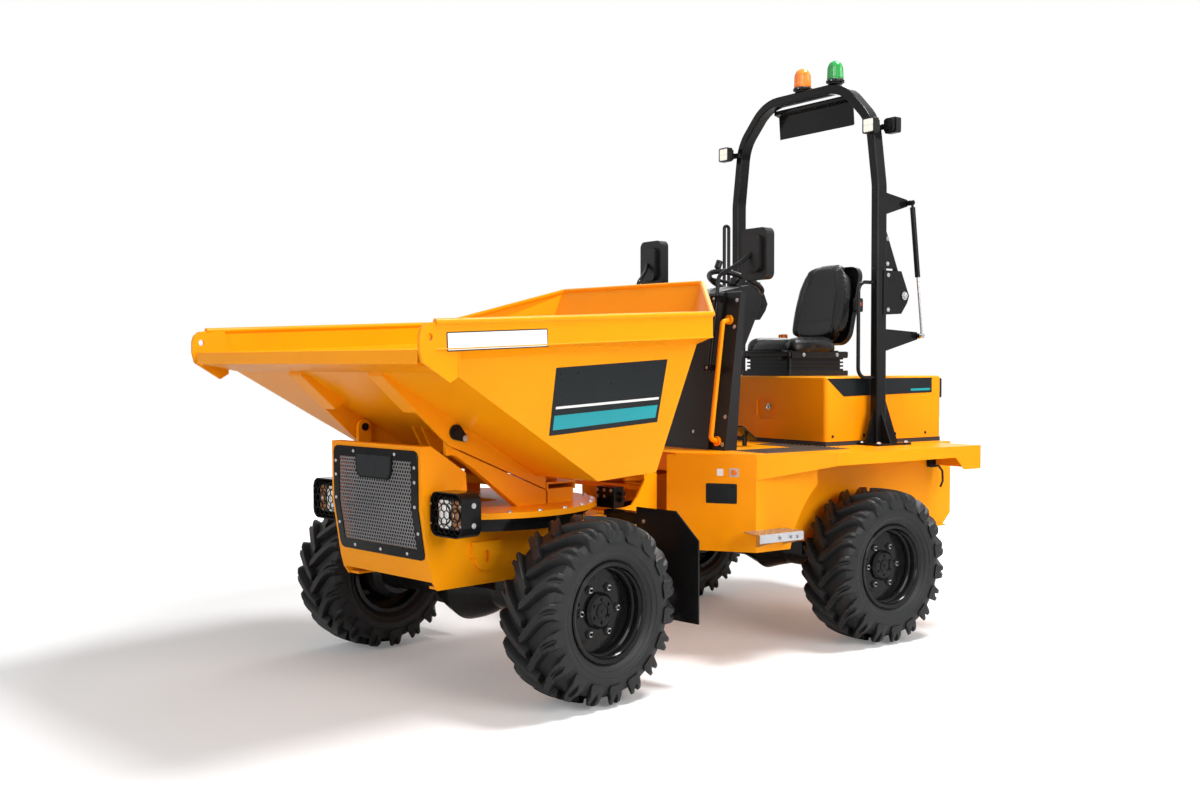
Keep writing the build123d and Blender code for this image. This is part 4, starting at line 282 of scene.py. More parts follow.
class DUMPER_OT_finishes(bpy.types.Operator):
    """Makes every finish and puts them on the pieces of the frame"""

    bl_idname = "dumper.finishes"
    bl_label = "Finishes"

    def execute(self, context):
        paint = settings("dumper_paint")
        GROUPS["sheet"] = make_sheet_group()
        GROUPS["grain"] = make_grain_group()
        dust = tuple(paint.dust)

        def sheet(name, colour, shade, dust_share, gloss, **surface):
            values = {"Colour": colour, "Shade": shade, "Dust Colour": dust, "Dust": dust_share,
                      "Gloss Floor": gloss}
            finish(name, "sheet", values, **surface)

        def grain(name, colour, rubbed, size, gloss, wear, bump=0.25, **surface):
            values = {"Colour": colour, "Rubbed": rubbed, "Size": size, "Gloss Floor": gloss, "Wear": wear}
            finish(name, "grain", values, bump=bump, **surface)

        body, black, stripe = tuple(paint.body), tuple(paint.frame_black), tuple(paint.stripe)
        sheet("yellow_paint", body, tuple(paint.body_shade), 0.03, 0.27, Specular_IOR_Level=0.14)
        sheet("black_paint", black, mix_colours(black, (1, 1, 1), 0.006), 0.01, 0.08, Specular_IOR_Level=0.17)
        sheet("grey_paint", (0.013, 0.0135, 0.015), (0.018, 0.018, 0.019), 0.02, 0.34,
              Specular_IOR_Level=0.24)
        sheet("bright_steel", (0.62, 0.63, 0.65), (0.50, 0.51, 0.53), 0.10, 0.26, Metallic=1.0)
        sheet("chrome_rod", (0.75, 0.76, 0.78), (0.68, 0.69, 0.71), 0.04, 0.08, Metallic=1.0)
        sheet("reflector", (0.88, 0.89, 0.90), (0.80, 0.81, 0.83), 0.0, 0.08, Metallic=1.0)
        sheet("dark_core", (0.006, 0.006, 0.0065), (0.012, 0.012, 0.012), 0.05, 0.55, Specular_IOR_Level=0.2)
        sheet("grille_mesh", (0.31, 0.315, 0.32), (0.23, 0.23, 0.235), 0.05, 0.34, Metallic=0.5)
        sheet("white_plate", (0.86, 0.86, 0.85), (0.80, 0.80, 0.79), 0.02, 0.30)
        sheet("dark_plate", (0.006, 0.009, 0.011), (0.009, 0.012, 0.014), 0.01, 0.24, Specular_IOR_Level=0.25)
        sheet("stripe_plate", stripe, mix_colours(stripe, (0, 0, 0), 0.15), 0.02, 0.30)
        sheet("buckle_red", (0.62, 0.055, 0.012), (0.50, 0.04, 0.01), 0.02, 0.35)
        sheet("cap_orange", (0.85, 0.20, 0.01), (0.75, 0.16, 0.01), 0.02, 0.40)
        sheet("battery_case", (0.045, 0.050, 0.056), (0.060, 0.066, 0.072), 0.10, 0.50)
        sheet("amber_lens", (0.95, 0.26, 0.004), (0.85, 0.20, 0.003), 0.0, 0.12, Coat_Weight=0.6,
              Emission_Color=(0.9, 0.2, 0.0), Emission_Strength=0.12)
        sheet("smoked_lens", (0.42, 0.17, 0.05), (0.30, 0.11, 0.03), 0.0, 0.12, Coat_Weight=0.6)
        sheet("green_lens", (0.004, 0.30, 0.045), (0.003, 0.24, 0.04), 0.0, 0.12, Coat_Weight=0.6,
              Emission_Color=(0.0, 0.3, 0.03), Emission_Strength=0.08)
        sheet("red_lens", (0.55, 0.008, 0.006), (0.45, 0.006, 0.005), 0.0, 0.12, Coat_Weight=0.6)
        sheet("lamp_glass", (0.86, 0.87, 0.88), (0.62, 0.63, 0.64), 0.0, 0.08, Metallic=0.35, Coat_Weight=0.8,
              Emission_Color=(0.9, 0.88, 0.8), Emission_Strength=0.22)
        sheet("led_chip", (0.95, 0.93, 0.78), (0.92, 0.88, 0.66), 0.0, 0.20,
              Emission_Color=(1.0, 0.95, 0.75), Emission_Strength=0.5)
        sheet("mirror_glass", (0.78, 0.80, 0.82), (0.74, 0.76, 0.78), 0.0, 0.03, Metallic=1.0)
        sheet("deck_grip", (0.085, 0.050, 0.030), (0.050, 0.034, 0.024), 0.30, 0.70, bump=0.8, reach=0.002)
        grain("tyre_rubber", tuple(paint.rubber), (0.018, 0.0185, 0.0195), 420.0, 0.44, 0.55,
              Specular_IOR_Level=0.30)
        grain("seal_rubber", (0.020, 0.020, 0.020), (0.032, 0.032, 0.033), 500.0, 0.70, 0.3)
        grain("black_plastic", (0.008, 0.008, 0.0085), (0.014, 0.014, 0.015), 900.0, 0.32, 0.5,
              Specular_IOR_Level=0.26)
        grain("seat_vinyl", (0.0075, 0.0072, 0.007), (0.012, 0.0115, 0.011), 520.0, 0.30, 0.5, 0.35,
              reach=0.0007, Specular_IOR_Level=0.30)
        slots = {part["node"]: part["material_slot"] for part in frame["record"]["subparts"]}
        special = {
            "access_steps": "bright_steel", "hinge_pins": "black_paint", "rops_strut_rod": "chrome_rod",
            "tip_ram_rod": "chrome_rod", "steering_ram_rod": "chrome_rod", "pivot_pins": "bright_steel",
            "headlights": "black_plastic", "work_lights": "black_plastic", "seat_belt_parts": "black_plastic",
        }
        for node, piece in frame["nodes"].items():
            wanted = FINISHES[special.get(node, slots[node])]
            for slot in piece.material_slots:
                slot.material = wanted
        return {"FINISHED"}


# ---- Mesh helpers ----
def put(name, mesh, half, body, finishes, smooth=35.0, replaces=()):
    """Turns a bmesh in machine millimetres into a finished piece that rides on a body."""
    data = bpy.data.meshes.new(name)
    bmesh.ops.recalc_face_normals(mesh, faces=mesh.faces)
    mesh.to_mesh(data)
    mesh.free()
    data.transform(half)
    piece = bpy.data.objects.new(name, data)
    bpy.context.collection.objects.link(piece)
    for entry in finishes:
        data.materials.append(FINISHES[entry])
    for polygon in data.polygons:
        polygon.use_smooth = True
    data.set_sharp_from_angle(angle=radians(smooth))
    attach(piece, body)
    if replaces:
        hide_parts(*replaces)
    return piece


def ring_faces(mesh, rings, closed=True, material=0):
    """Quads between rows of vertices, each row closed on itself if asked."""
    for first, second in zip(rings, rings[1:]):
        count = len(first)
        for i in range(count if closed else count - 1):
            j = (i + 1) % count
            mesh.faces.new((first[i], first[j], second[j], second[i])).material_index = material


def lathe(mesh, profile, place, steps=48, material=0, rib_depth=0.0):
    """Turns (radius, height) points about the local Z of a placing matrix, ribbed by every second step."""
    rings = []
    for radius, height in profile:
        if radius < 1e-6:
            tip = mesh.verts.new(place @ Vector((0, 0, height)))
            rings.append([tip])
            continue
        ring = []
        for i in range(steps):
            angle = 2 * pi * i / steps
            here = radius - rib_depth * (i % 2)
            ring.append(mesh.verts.new(place @ Vector((here * cos(angle), here * sin(angle), height))))
        rings.append(ring)
    for first, second in zip(rings, rings[1:]):
        if len(first) == 1 and len(second) == 1:
            continue
        for i in range(steps):
            j = (i + 1) % steps
            if len(first) == 1:
                corners = (first[0], second[j], second[i])
            elif len(second) == 1:
                corners = (first[i], first[j], second[0])
            else:
                corners = (first[i], first[j], second[j], second[i])
            mesh.faces.new(corners).material_index = material


def loop_at(mesh, place, outline, lift=0.0):
    """The corners of a flat outline, lifted along the local Z of a placing matrix."""
    return [mesh.verts.new(place @ Vector((x, y, lift))) for x, y in outline]


def prism(mesh, outline, place, depth, material=0):
    """A closed prism over a flat outline, from local Z 0 to the depth."""
    low, high = loop_at(mesh, place, outline), loop_at(mesh, place, outline, depth)
    mesh.faces.new(list(reversed(low))).material_index = material
    mesh.faces.new(high).material_index = material
    ring_faces(mesh, [low, high], material=material)


def rounded(width, height, radius, steps=5):
    """Outline of a rounded rectangle about the origin."""
    points = []
    for cx, cy, start in ((1, 1, 0), (-1, 1, 90), (-1, -1, 180), (1, -1, 270)):
        for i in range(steps + 1):
            angle = radians(start + 90 * i / steps)
            points.append((cx * (width / 2 - radius) + radius * cos(angle),
                           cy * (height / 2 - radius) + radius * sin(angle)))
    return points


def moulding(mesh, place, sections, steps=5, material=0):
    """A skin over rounded rectangles, each given by its width, height, corner radius and lift."""
    loops = [loop_at(mesh, place, rounded(w, h, r, steps), lift) for w, h, r, lift in sections]
    ring_faces(mesh, loops, material=material)
    return loops


def facing(origin, normal, up=(0, 0, 1)):
    """Placing matrix with its local Z along the normal and local Y as near up as it can be."""
    z = Vector(normal).normalized()
    x = Vector(up).cross(z)
    if x.length < 1e-6:
        x = Vector((0, 1, 0)).cross(z)
    x.normalize()
    y = z.cross(x)
    return Matrix.Translation(Vector(origin)) @ Matrix((x, y, z)).transposed().to_4x4()


def regular(radius, count, first=0.0):
    """Places spread evenly on a circle, the first turned by some degrees."""
    turns = [radians(360 * i / count + first) for i in range(count)]
    return [(radius * cos(turn), radius * sin(turn)) for turn in turns]


def bolt(mesh, origin, normal, across, material=0, washer=True):
    """A hexagon head with its washer and a rounded top."""
    place = facing(origin, normal)
    high = across * 0.42
    if washer:
        rim, thick = across * 0.85, across * 0.09
        lathe(mesh, [(0, 0), (rim, 0), (rim, thick), (0, thick)], place, 20, material)
    on_washer = place @ Matrix.Translation((0, 0, across * 0.08))
    prism(mesh, regular(across * 0.577, 6), on_washer, high * 0.85, material)
    dome = [(across * 0.46, high * 0.9), (across * 0.40, high * 1.12), (0, high * 1.12)]
    lathe(mesh, dome, place, 16, material)


def perforated(mesh, outline_test, to_point, width, height, pitch, bar, thickness, material=0):
    """A sheet of staggered hexagonal holes; to_point maps sheet places to the machine."""
    row_step = pitch * 0.866
    across, up = int(width / pitch) + 2, int(height / row_step) + 2
    corners = {}

    def vertex(x, y, level):
        key = (round(x, 2), round(y, 2), level)
        if key not in corners:
            corners[key] = mesh.verts.new(to_point(x, y, level))
        return corners[key]

    outer, inner = pitch / math.sqrt(3), (pitch - bar) / math.sqrt(3)
    for row in range(-up // 2, up // 2 + 1):
        for column in range(-across // 2, across // 2 + 1):
            cx = (column + (0.5 if row % 2 else 0.0)) * pitch
            cy = row * row_step
            if not outline_test(cx, cy):
                continue
            out = [(cx + x, cy + y) for x, y in regular(outer, 6, 30)]
            hole = [(cx + x, cy + y) for x, y in regular(inner, 6, 30)]
            for i in range(6):
                j = (i + 1) % 6
                face = mesh.faces.new((vertex(*out[i], thickness), vertex(*out[j], thickness),
                                       vertex(*hole[j], thickness), vertex(*hole[i], thickness)))
                wall = mesh.faces.new((vertex(*hole[i], thickness), vertex(*hole[j], thickness),
                                       vertex(*hole[j], 0.0), vertex(*hole[i], 0.0)))
                face.material_index = wall.material_index = material


# ---- Tyres and wheels ----
CARCASS = (
    # across, radius
    (-113.5, 194.6), (-114, 207), (-124, 218), (-138, 236), (-146, 262), (-147, 286),
    (-141, 310), (-129, 328), (-108, 339), (-80, 343), (-40, 346), (0, 347),
    (40, 346), (80, 343), (108, 339), (129, 328), (141, 310), (147, 286),
    (146, 262), (138, 236), (124, 218), (114, 207), (113.5, 194.6),
)
LUG_LINE = (
    # across, top radius, foot radius, share of the swing, half width, depth of the hollow in its end
    (-10, 379.8, 338, -0.06, 14, 0), (16, 379.7, 338, 0.10, 20, 0), (46, 379.2, 337, 0.34, 21, 0),
    (76, 378.0, 335, 0.58, 22, 0), (104, 375.0, 330, 0.80, 24, 3), (124, 371.0, 322, 0.93, 27, 14),
    (140, 361.0, 312, 0.99, 29, 22), (151, 342.0, 300, 1.02, 28, 18), (153, 320.0, 288, 1.03, 21, 6),
)


def tyre_mesh(mesh, place, tyre):
    """Carcass, side rings and chevron lugs, about local Y with the tread rolling forward."""
    steps = 120

    def corner(radius, turn, across):
        return mesh.verts.new(place @ Vector((radius * sin(turn), across, radius * cos(turn))))

    def hoop(radius, across):
        return [corner(radius, 2 * pi * i / steps, across) for i in range(steps)]

    rings = [hoop(radius, across) for across, radius in CARCASS]
    ring_faces(mesh, rings)
    ring_faces(mesh, [rings[-1], rings[0]])
    for side in (1, -1):
        for base, at in ((232, 135.0), (254, 143.6)):
            wall = [(base - 5, 0), (base - 2, 2.0), (base + 2, 2.0), (base + 5, 0)]
            ring_faces(mesh, [hoop(radius, side * (at + height)) for radius, height in wall])
    pitch = 2 * pi / tyre.lugs
    for side in (1, -1):
        for index in range(tyre.lugs):
            start = pitch * (index + (0.5 if side < 0 else 0.0))
            sections = []
            for across, top, foot, share, half, hollow in LUG_LINE:
                angle = start - tyre.swing * share
                width = half * tyre.lug_width
                half_section = [(foot, 1.30), (top - 6, 1.04), (top, 0.88), (top, 0.42), (top - hollow, 0.16)]
                section = [(radius, -shift) for radius, shift in half_section] + half_section[::-1]
                sections.append([
                    corner(radius, angle + width * shift / radius, side * across) for radius, shift in section
                ])
            ring_faces(mesh, sections)
            mesh.faces.new(list(reversed(sections[0])))
            mesh.faces.new(sections[-1])


class DUMPER_OT_tyres(bpy.types.Operator):
    """Builds the four tractor-tread tyres"""

    bl_idname = "dumper.tyres"
    bl_label = "Tyres"

    def execute(self, context):
        for name, x, side, half in WHEELS:
            mesh = bmesh.new()
            tyre_mesh(mesh, Matrix.Translation((x, side * WHEEL_Y, AXLE_Z)), settings("dumper_tyre"))
            put(f"tread_{name}", mesh, half, f"wheel_{name}", ["tyre_rubber"], 24.0,
                (f"tyre_{name}",))
        return {"FINISHED"}


def around_axle(axle_x, y, radius, count, first=0.0):
    """Places on a circle about a wheel's axle, the first turned forward from the top by some degrees."""
    return [(axle_x + forward, y, AXLE_Z + up) for up, forward in regular(radius, count, first)]


class DUMPER_OT_wheel_fixings(bpy.types.Operator):
    """Adds studs, nuts, hub bolts, a grease cap and a valve to each wheel"""

    bl_idname = "dumper.wheel_fixings"
    bl_label = "Wheel fixings"

    def execute(self, context):
        for name, x, side, half in WHEELS:
            mesh = bmesh.new()
            out = (0, side, 0)
            y_disc, y_hub = side * (WHEEL_Y + DISC_FACE), side * (WHEEL_Y + HUB_FACE)
            for spot in around_axle(x, y_disc, STUD_CIRCLE, 6, 30):
                lathe(mesh, [(19, 0), (19, 3), (17, 5), (0, 5)], facing(spot, out), 24, 0)
                bolt(mesh, (spot[0], y_disc + side * 4, spot[2]), out, 21.0, 1, False)
                lathe(mesh, [(7, 10), (7, 22), (5.5, 24), (0, 24)], facing(spot, out), 16, 0)
            for spot in around_axle(x, y_hub, 47, 6):
                bolt(mesh, spot, out, 12.0, 0, False)
            lathe(mesh, [(33, 0), (33, 3), (27, 5), (26, 2.5), (9, 2.5), (8, 6), (0, 6)],
                  facing((x, y_hub, AXLE_Z), out), 32, 0)
            for spot in around_axle(x, y_disc - side * 0.5, 141, 8, 12):
                lathe(mesh, [(11, 0), (11, 2.2), (8, 2.2), (7, 0.4), (0, 0.4)], facing(spot, out), 20, 0)
            well = [(206.8, 121.6), (203, 124.5), (196, 124.5), (188, 120), (185, 112), (179, 106), (177, 92),
                    (182, 86), (182, 78), (174, 72), (171, 60), (176, 51)]
            lathe(mesh, well, facing((x, side * WHEEL_Y, AXLE_Z), out), 72, 0)
            valve = (x + 150.0, y_disc + side * 2, AXLE_Z + 46)
            lathe(mesh, [(5.5, 0), (5.5, 12), (4.5, 13), (4.5, 30), (5.2, 31), (5.2, 40), (0, 41)],
                  facing(valve, (-0.35, side, 0)), 14, 0)
            put(f"fixings_{name}", mesh, half, f"wheel_{name}",
                ["black_paint", "bright_steel"], 30.0)
        return {"FINISHED"}


# ---- Grille and lamps ----
GRILLE_HALF = 262.0
GRILLE_LOW = 622.0
GRILLE_HIGH = 984.0
GRILLE_BORDER = 44.0
BEND_Z = 790.0


def nose_x(height):
    """X on the outside of the nose panel."""
    if height > BEND_Z:
        return NOSE_X - 2 * (1046.0 - height) / 256.0
    return NOSE_X - 2 - 40 * (BEND_Z - height) / 243.0


class DUMPER_OT_grille(bpy.types.Operator):
    """Builds the folded grille frame with its perforated sheet, core, screws and blank badge"""

    bl_idname = "dumper.grille"
    bl_label = "Grille"

    def execute(self, context):
        mesh = bmesh.new()
        outer_y = GRILLE_HALF + GRILLE_BORDER
        low, high = GRILLE_LOW - GRILLE_BORDER, GRILLE_HIGH + GRILLE_BORDER
        corner = 26.0
        nick = corner * 0.3
        outer = [
            (outer_y, high - corner), (outer_y - nick, high - nick), (outer_y - corner, high), (0, high),
            (corner - outer_y, high), (nick - outer_y, high - nick), (-outer_y, high - corner),
            (-outer_y, BEND_Z), (-outer_y, low + corner), (nick - outer_y, low + nick),
            (corner - outer_y, low), (0, low), (outer_y - corner, low), (outer_y - nick, low + nick),
            (outer_y, low + corner), (outer_y, BEND_Z),
        ]
        window = [(max(min(y, GRILLE_HALF), -GRILLE_HALF), max(min(z, GRILLE_HIGH), GRILLE_LOW))
                  for y, z in outer]
        eased = [(y - 1.5 * math.copysign(1, y) if y else 0, z - 1.5 * math.copysign(1, z - 800))
                 for y, z in outer]
        loops = [
            [mesh.verts.new((nose_x(z) + lift, y, z)) for y, z in outline]
            for outline, lift in ((outer, 0.0), (outer, 4.5), (eased, 6.0), (window, 6.0), (window, 0.6))
        ]
        ring_faces(mesh, loops)
        ring_faces(mesh, [loops[-1], loops[0]])
        middle_z = (GRILLE_LOW + GRILLE_HIGH) / 2
        sheet = settings("dumper_grille")
        perforated(
            mesh,
            lambda x, y: abs(x) < GRILLE_HALF + 6 and abs(y) < (GRILLE_HIGH - GRILLE_LOW) / 2 + 6,
            lambda x, y, level: Vector((nose_x(middle_z + y) + 0.6 + level, x, middle_z + y)),
            2 * GRILLE_HALF, GRILLE_HIGH - GRILLE_LOW, sheet.pitch * 1000, 4.6, 1.8, 1,
        )
        edge = outer_y - 20
        screws = [(-150, high - 20), (150, high - 20), (-190, low + 20), (0, low + 20), (190, low + 20)]
        screws += [(side * edge, z) for z in (690, 800, 900, 960) for side in (-1, 1)]
        for y, z in screws:
            tilt = (1, 0, 0.008) if z > BEND_Z else (1, 0, -0.165)
            lathe(mesh, [(7.5, 0), (7.5, 1.5), (6, 3.4), (3, 4.2), (2.6, 3.0), (0, 3.0)],
                  facing((nose_x(z) + 6.0, y, z), tilt), 18, 2)
        place = facing((nose_x(950) + 3.0, 0, 0), (1, 0, 0))
        badge = [(-134, 1004), (134, 1004), (128, 930), (106, 900), (-106, 900), (-128, 930)]
        prism(mesh, badge, place, 6.0, 0)
        prism(mesh, [(x * 0.93, 952 + (z - 952) * 0.86) for x, z in badge], place, 7.2, 3)
        put("grille_panel", mesh, FRONT, "front_frame",
            ["black_paint", "grille_mesh", "bright_steel", "dark_plate"], 30.0, ("front_grille",))
        core = bmesh.new()
        for row in range(30):
            z = GRILLE_LOW - 4 + row * 12.4
            fin = rounded(2 * GRILLE_HALF + 4, 7, 1.5, 2)
            prism(core, fin, facing((nose_x(z) - 34, 0, z), (1, 0, 0)), 6.0)
        half = GRILLE_HALF + 10
        prism(core, [(-half, 0), (half, 0), (half, 372), (-half, 372)],
              facing((447, 0, GRILLE_LOW - 5), (1, 0, 0)), 4.0)
        put("cooler_core", core, FRONT, "front_frame", ["dark_core"], 30.0)
        return {"FINISHED"}


class DUMPER_OT_headlamps(bpy.types.Operator):
    """Adds reflectors, lenses and hexagon wire fronts to the guarded headlamps"""

    bl_idname = "dumper.headlamps"
    bl_label = "Headlamps"

    def execute(self, context):
        pitch = settings("dumper_grille").guard_pitch * 1000
        for side, name in ((1, "left"), (-1, "right")):
            middle_y = side * LAMP_Y
            lamps = bmesh.new()
            for offset, lens, radius, width in ((-28, 1, 38.0, 84), (44, 2, 25.0, 56)):
                place = facing((LAMP_X, middle_y + side * offset, LAMP_Z), (1, 0, 0))
                prism(lamps, rounded(width, 112, 22), place, 2.2, lens)
                rim = [(radius + 5, 0), (radius + 5, 7), (radius + 1, 9), (radius, 6)]
                bowl = [(radius, 6), (radius * 0.75, 2.5), (radius * 0.4, 0.8), (0, 0.4)]
                glass = [(radius, 7), (radius * 0.8, 9.5), (radius * 0.4, 11), (0, 11.4)]
                lathe(lamps, rim, place, 40, 3)
                lathe(lamps, bowl, place, 40, 0)
                lathe(lamps, glass, place, 40, lens, rib_depth=0.8)
                lathe(lamps, [(9, 1), (9, 8), (6, 12.5), (0, 13.5)], place, 20, 0)
            put(f"lamp_glasses_{name}", lamps, FRONT, "front_frame",
                ["reflector", "lamp_glass", "smoked_lens", "black_plastic"], 40.0)
            guard = bmesh.new()
            perforated(
                guard, lambda x, y: abs(x) < 92 and abs(y) < 78 and (abs(x) < 72 or abs(y) < 60),
                lambda x, y, level: Vector((484.0 + level, middle_y + x, LAMP_Z + y)),
                205.0, 180.0, pitch, 3.0, 4.0,
            )
            for z in (LAMP_Z - 40, LAMP_Z + 40):
                bolt(guard, (430.0, middle_y + side * 102.5, z), (0, side, 0), 13.0, 1)
                for y in (middle_y - 96, middle_y + 96):
                    bolt(guard, (490.0, y, z), (1, 0, 0), 8.0, 1, False)
            put(f"lamp_guard_{name}", guard, FRONT, "front_frame",
                ["black_paint", "bright_steel"], 30.0)
        return {"FINISHED"}


class DUMPER_OT_beacons(bpy.types.Operator):
    """Builds the amber and green beacons with ribbed lenses and rubber feet"""

    bl_idname = "dumper.beacons"
    bl_label = "Beacons"

    def execute(self, context):
        for name, y, lens_r, top in (("amber", -20.0, 47.0, 3010.5), ("green", 229.0, 44.0, 3007.5)):
            mesh = bmesh.new()
            place = Matrix.Translation((HOOP_X, y, 0))
            foot_r = lens_r + 5.8
            foot = [(0, 2882.3), (lens_r - 6, 2882.3), (lens_r - 4, 2888), (lens_r + 4, 2890),
                    (foot_r, 2893), (foot_r, 2902), (lens_r + 2, 2906), (lens_r - 2, 2907)]
            lathe(mesh, foot, place, 48, 0)
            lens = [(lens_r - 2, 2907), (lens_r, 2909), (lens_r, 2925), (lens_r - 2, top - 34)]
            lathe(mesh, lens, place, 72, 1, rib_depth=1.8)
            cap = [(lens_r - 2.0, top - 34), (lens_r - 4, top - 24), (lens_r - 10, top - 11),
                   (lens_r - 20, top - 3), (lens_r - 32, top), (0, top)]
            lathe(mesh, cap, place, 72, 1)
            lathe(mesh, [(lens_r + 1.2, 2914), (lens_r + 1.8, 2916), (lens_r + 1.2, 2918)], place, 48, 1)
            for dx, dy in regular(foot_r, 3, 20):
                bolt(mesh, (HOOP_X + dx, y + dy, 2897.0), (dx, dy, 0), 6.0, 2, False)
            put(f"{name}_beacon_lamp", mesh, REAR, "rops_hoop",
                ["black_plastic", f"{name}_lens", "bright_steel"], 32.0, (f"{name}_beacon",))
        return {"FINISHED"}


class DUMPER_OT_work_lamps(bpy.types.Operator):
    """Adds glass, light chips, bezels and cooling fins to the work lamps, and lenses to the tail lamps"""

    bl_idname = "dumper.work_lamps"
    bl_label = "Work and tail lamps"

    def execute(self, context):
        mesh = bmesh.new()
        for x, y, z, way in ((-2100.0, 566.0, 2602.0, 1), (-2100.0, -566.0, 2602.0, 1),
                             (-2300.0, 566.0, 2620.0, -1)):
            place = facing((x, y, z), (way, 0, 0))
            prism(mesh, rounded(66, 66, 6), place, 1.2, 0)
            for row in (-1, 1):
                for column in (-1, 1):
                    spot = place @ Matrix.Translation((column * 15.5, row * 15.5, 1.2))
                    prism(mesh, rounded(26, 26, 4), spot, 1.0, 1)
                    lathe(mesh, [(9, 1.0), (6.5, 2.4), (0, 2.8)], spot, 20, 1)
            moulding(mesh, place, ((79.5, 79.5, 10, 0.0), (79.5, 79.5, 10, 2.6), (70, 70, 7, 3.0),
                                   (66, 66, 6, 0.8)), material=2)
            for fin in range(6):
                prism(mesh, rounded(4, 62, 1.2, 2),
                      facing((x - way * 34.5, y - 25 + fin * 10, z), (-way, 0, 0)), 9.0, 2)
            bolt(mesh, (x - way * 58, y - 30 * (1 if y > 0 else -1), z + 5), (0, 0, 1), 10.0, 3)
        put("work_lamp_fronts", mesh, REAR, "rops_hoop",
            ["lamp_glass", "led_chip", "black_plastic", "bright_steel"], 30.0)
        tail = bmesh.new()
        large = [(23, 0), (23, 1.6), (17, 3.2), (0, 4.0)]
        small = [(10, 0), (10, 1.6), (6, 2.6), (0, 3.0)]
        for side in (1, -1):
            for z, profile, lens in ((1272, large, 0), (1236, large, 1), (1206, small, 2)):
                lathe(tail, profile, facing((TAIL_X, side * 431.0, z), (-1, 0, 0)), 36, lens)
        put("tail_lamp_lenses", tail, REAR, "power_cover",
            ["red_lens", "amber_lens", "lamp_glass"], 40.0)
        return {"FINISHED"}


# ---- Seat ----
PAD_VOXEL = 0.007
CLOTH_FRAMES = 14
BACK_FOOT = Vector((-2291, 0, 1520))
BACK_TOP = Vector((-2392, 0, 1944))


def swollen(piece, seat):
    """Fills a pad with air as cloth, holds how far it may swell, and keeps the result."""
    remesh = piece.modifiers.new("Remesh", "REMESH")
    remesh.mode = "VOXEL"
    remesh.voxel_size = PAD_VOXEL
    apply_modifiers(piece)
    start = [vertex.co.copy() for vertex in piece.data.vertices]
    cloth = piece.modifiers.new("Cloth", "CLOTH")
    cloth.settings.use_pressure = True
    cloth.settings.uniform_pressure_force = seat.pressure
    cloth.settings.effector_weights.gravity = 0.0
    cloth.settings.quality = 4
    cloth.point_cache.frame_end = 20
    for number in range(1, CLOTH_FRAMES + 1):
        bpy.context.scene.frame_set(number)
    apply_modifiers(piece)
    bpy.context.scene.frame_set(1)
    for vertex, old in zip(piece.data.vertices, start):
        step = vertex.co - old
        if step.length > seat.puff:
            vertex.co = old + step.normalized() * seat.puff


def apply_modifiers(piece):
    """Bakes the modifiers into the mesh."""
    graph = bpy.context.evaluated_depsgraph_get()
    baked = bpy.data.meshes.new_from_object(piece.evaluated_get(graph))
    piece.modifiers.clear()
    old = piece.data
    piece.data = baked
    baked.name = piece.name
    bpy.data.meshes.remove(old)


def pad_surface(width, length, across, along, height_of, shift):
    """Closed pad with a grid top and a flat bottom; at (u, v) from -1 to 1 the top rises and moves."""
    mesh = bmesh.new()
    top, bottom = [], []
    for j in range(along + 1):
        v = 2 * j / along - 1
        row_top, row_bottom = [], []
        for i in range(across + 1):
            u = 2 * i / across - 1
            dx, dy = shift(u, v)
            x, y = u * width / 2 + dx, v * length / 2 + dy
            row_top.append(mesh.verts.new((x, y, height_of(u, v))))
            row_bottom.append(mesh.verts.new((x, y, 0.0)))
        top.append(row_top)
        bottom.append(row_bottom)
    ring_faces(mesh, top, closed=False)
    ring_faces(mesh, [list(reversed(row)) for row in bottom], closed=False)
    for j in range(along):
        for i in (0, across):
            corners = (top[j][i], top[j + 1][i], bottom[j + 1][i], bottom[j][i])
            mesh.faces.new(corners if i else tuple(reversed(corners)))
    for i in range(across):
        for j in (0, along):
            corners = (top[j][i], bottom[j][i], bottom[j][i + 1], top[j][i + 1])
            mesh.faces.new(corners if j else tuple(reversed(corners)))
    return mesh


def corner_pull(amount, taper=0.0):
    """Rounds the corners of a pad's plan, lets its sides pull in and narrows it towards its top."""
    def shift(u, v):
        round_off = max(abs(u), abs(v)) * abs(u * v) ** 3
        pull = 6.0 * (1 - v * v) * u ** 3
        narrow = taper * u * (0.5 * (v + 1)) ** 2
        return (-u * round_off * amount - pull - narrow, -v * round_off * amount)
    return shift


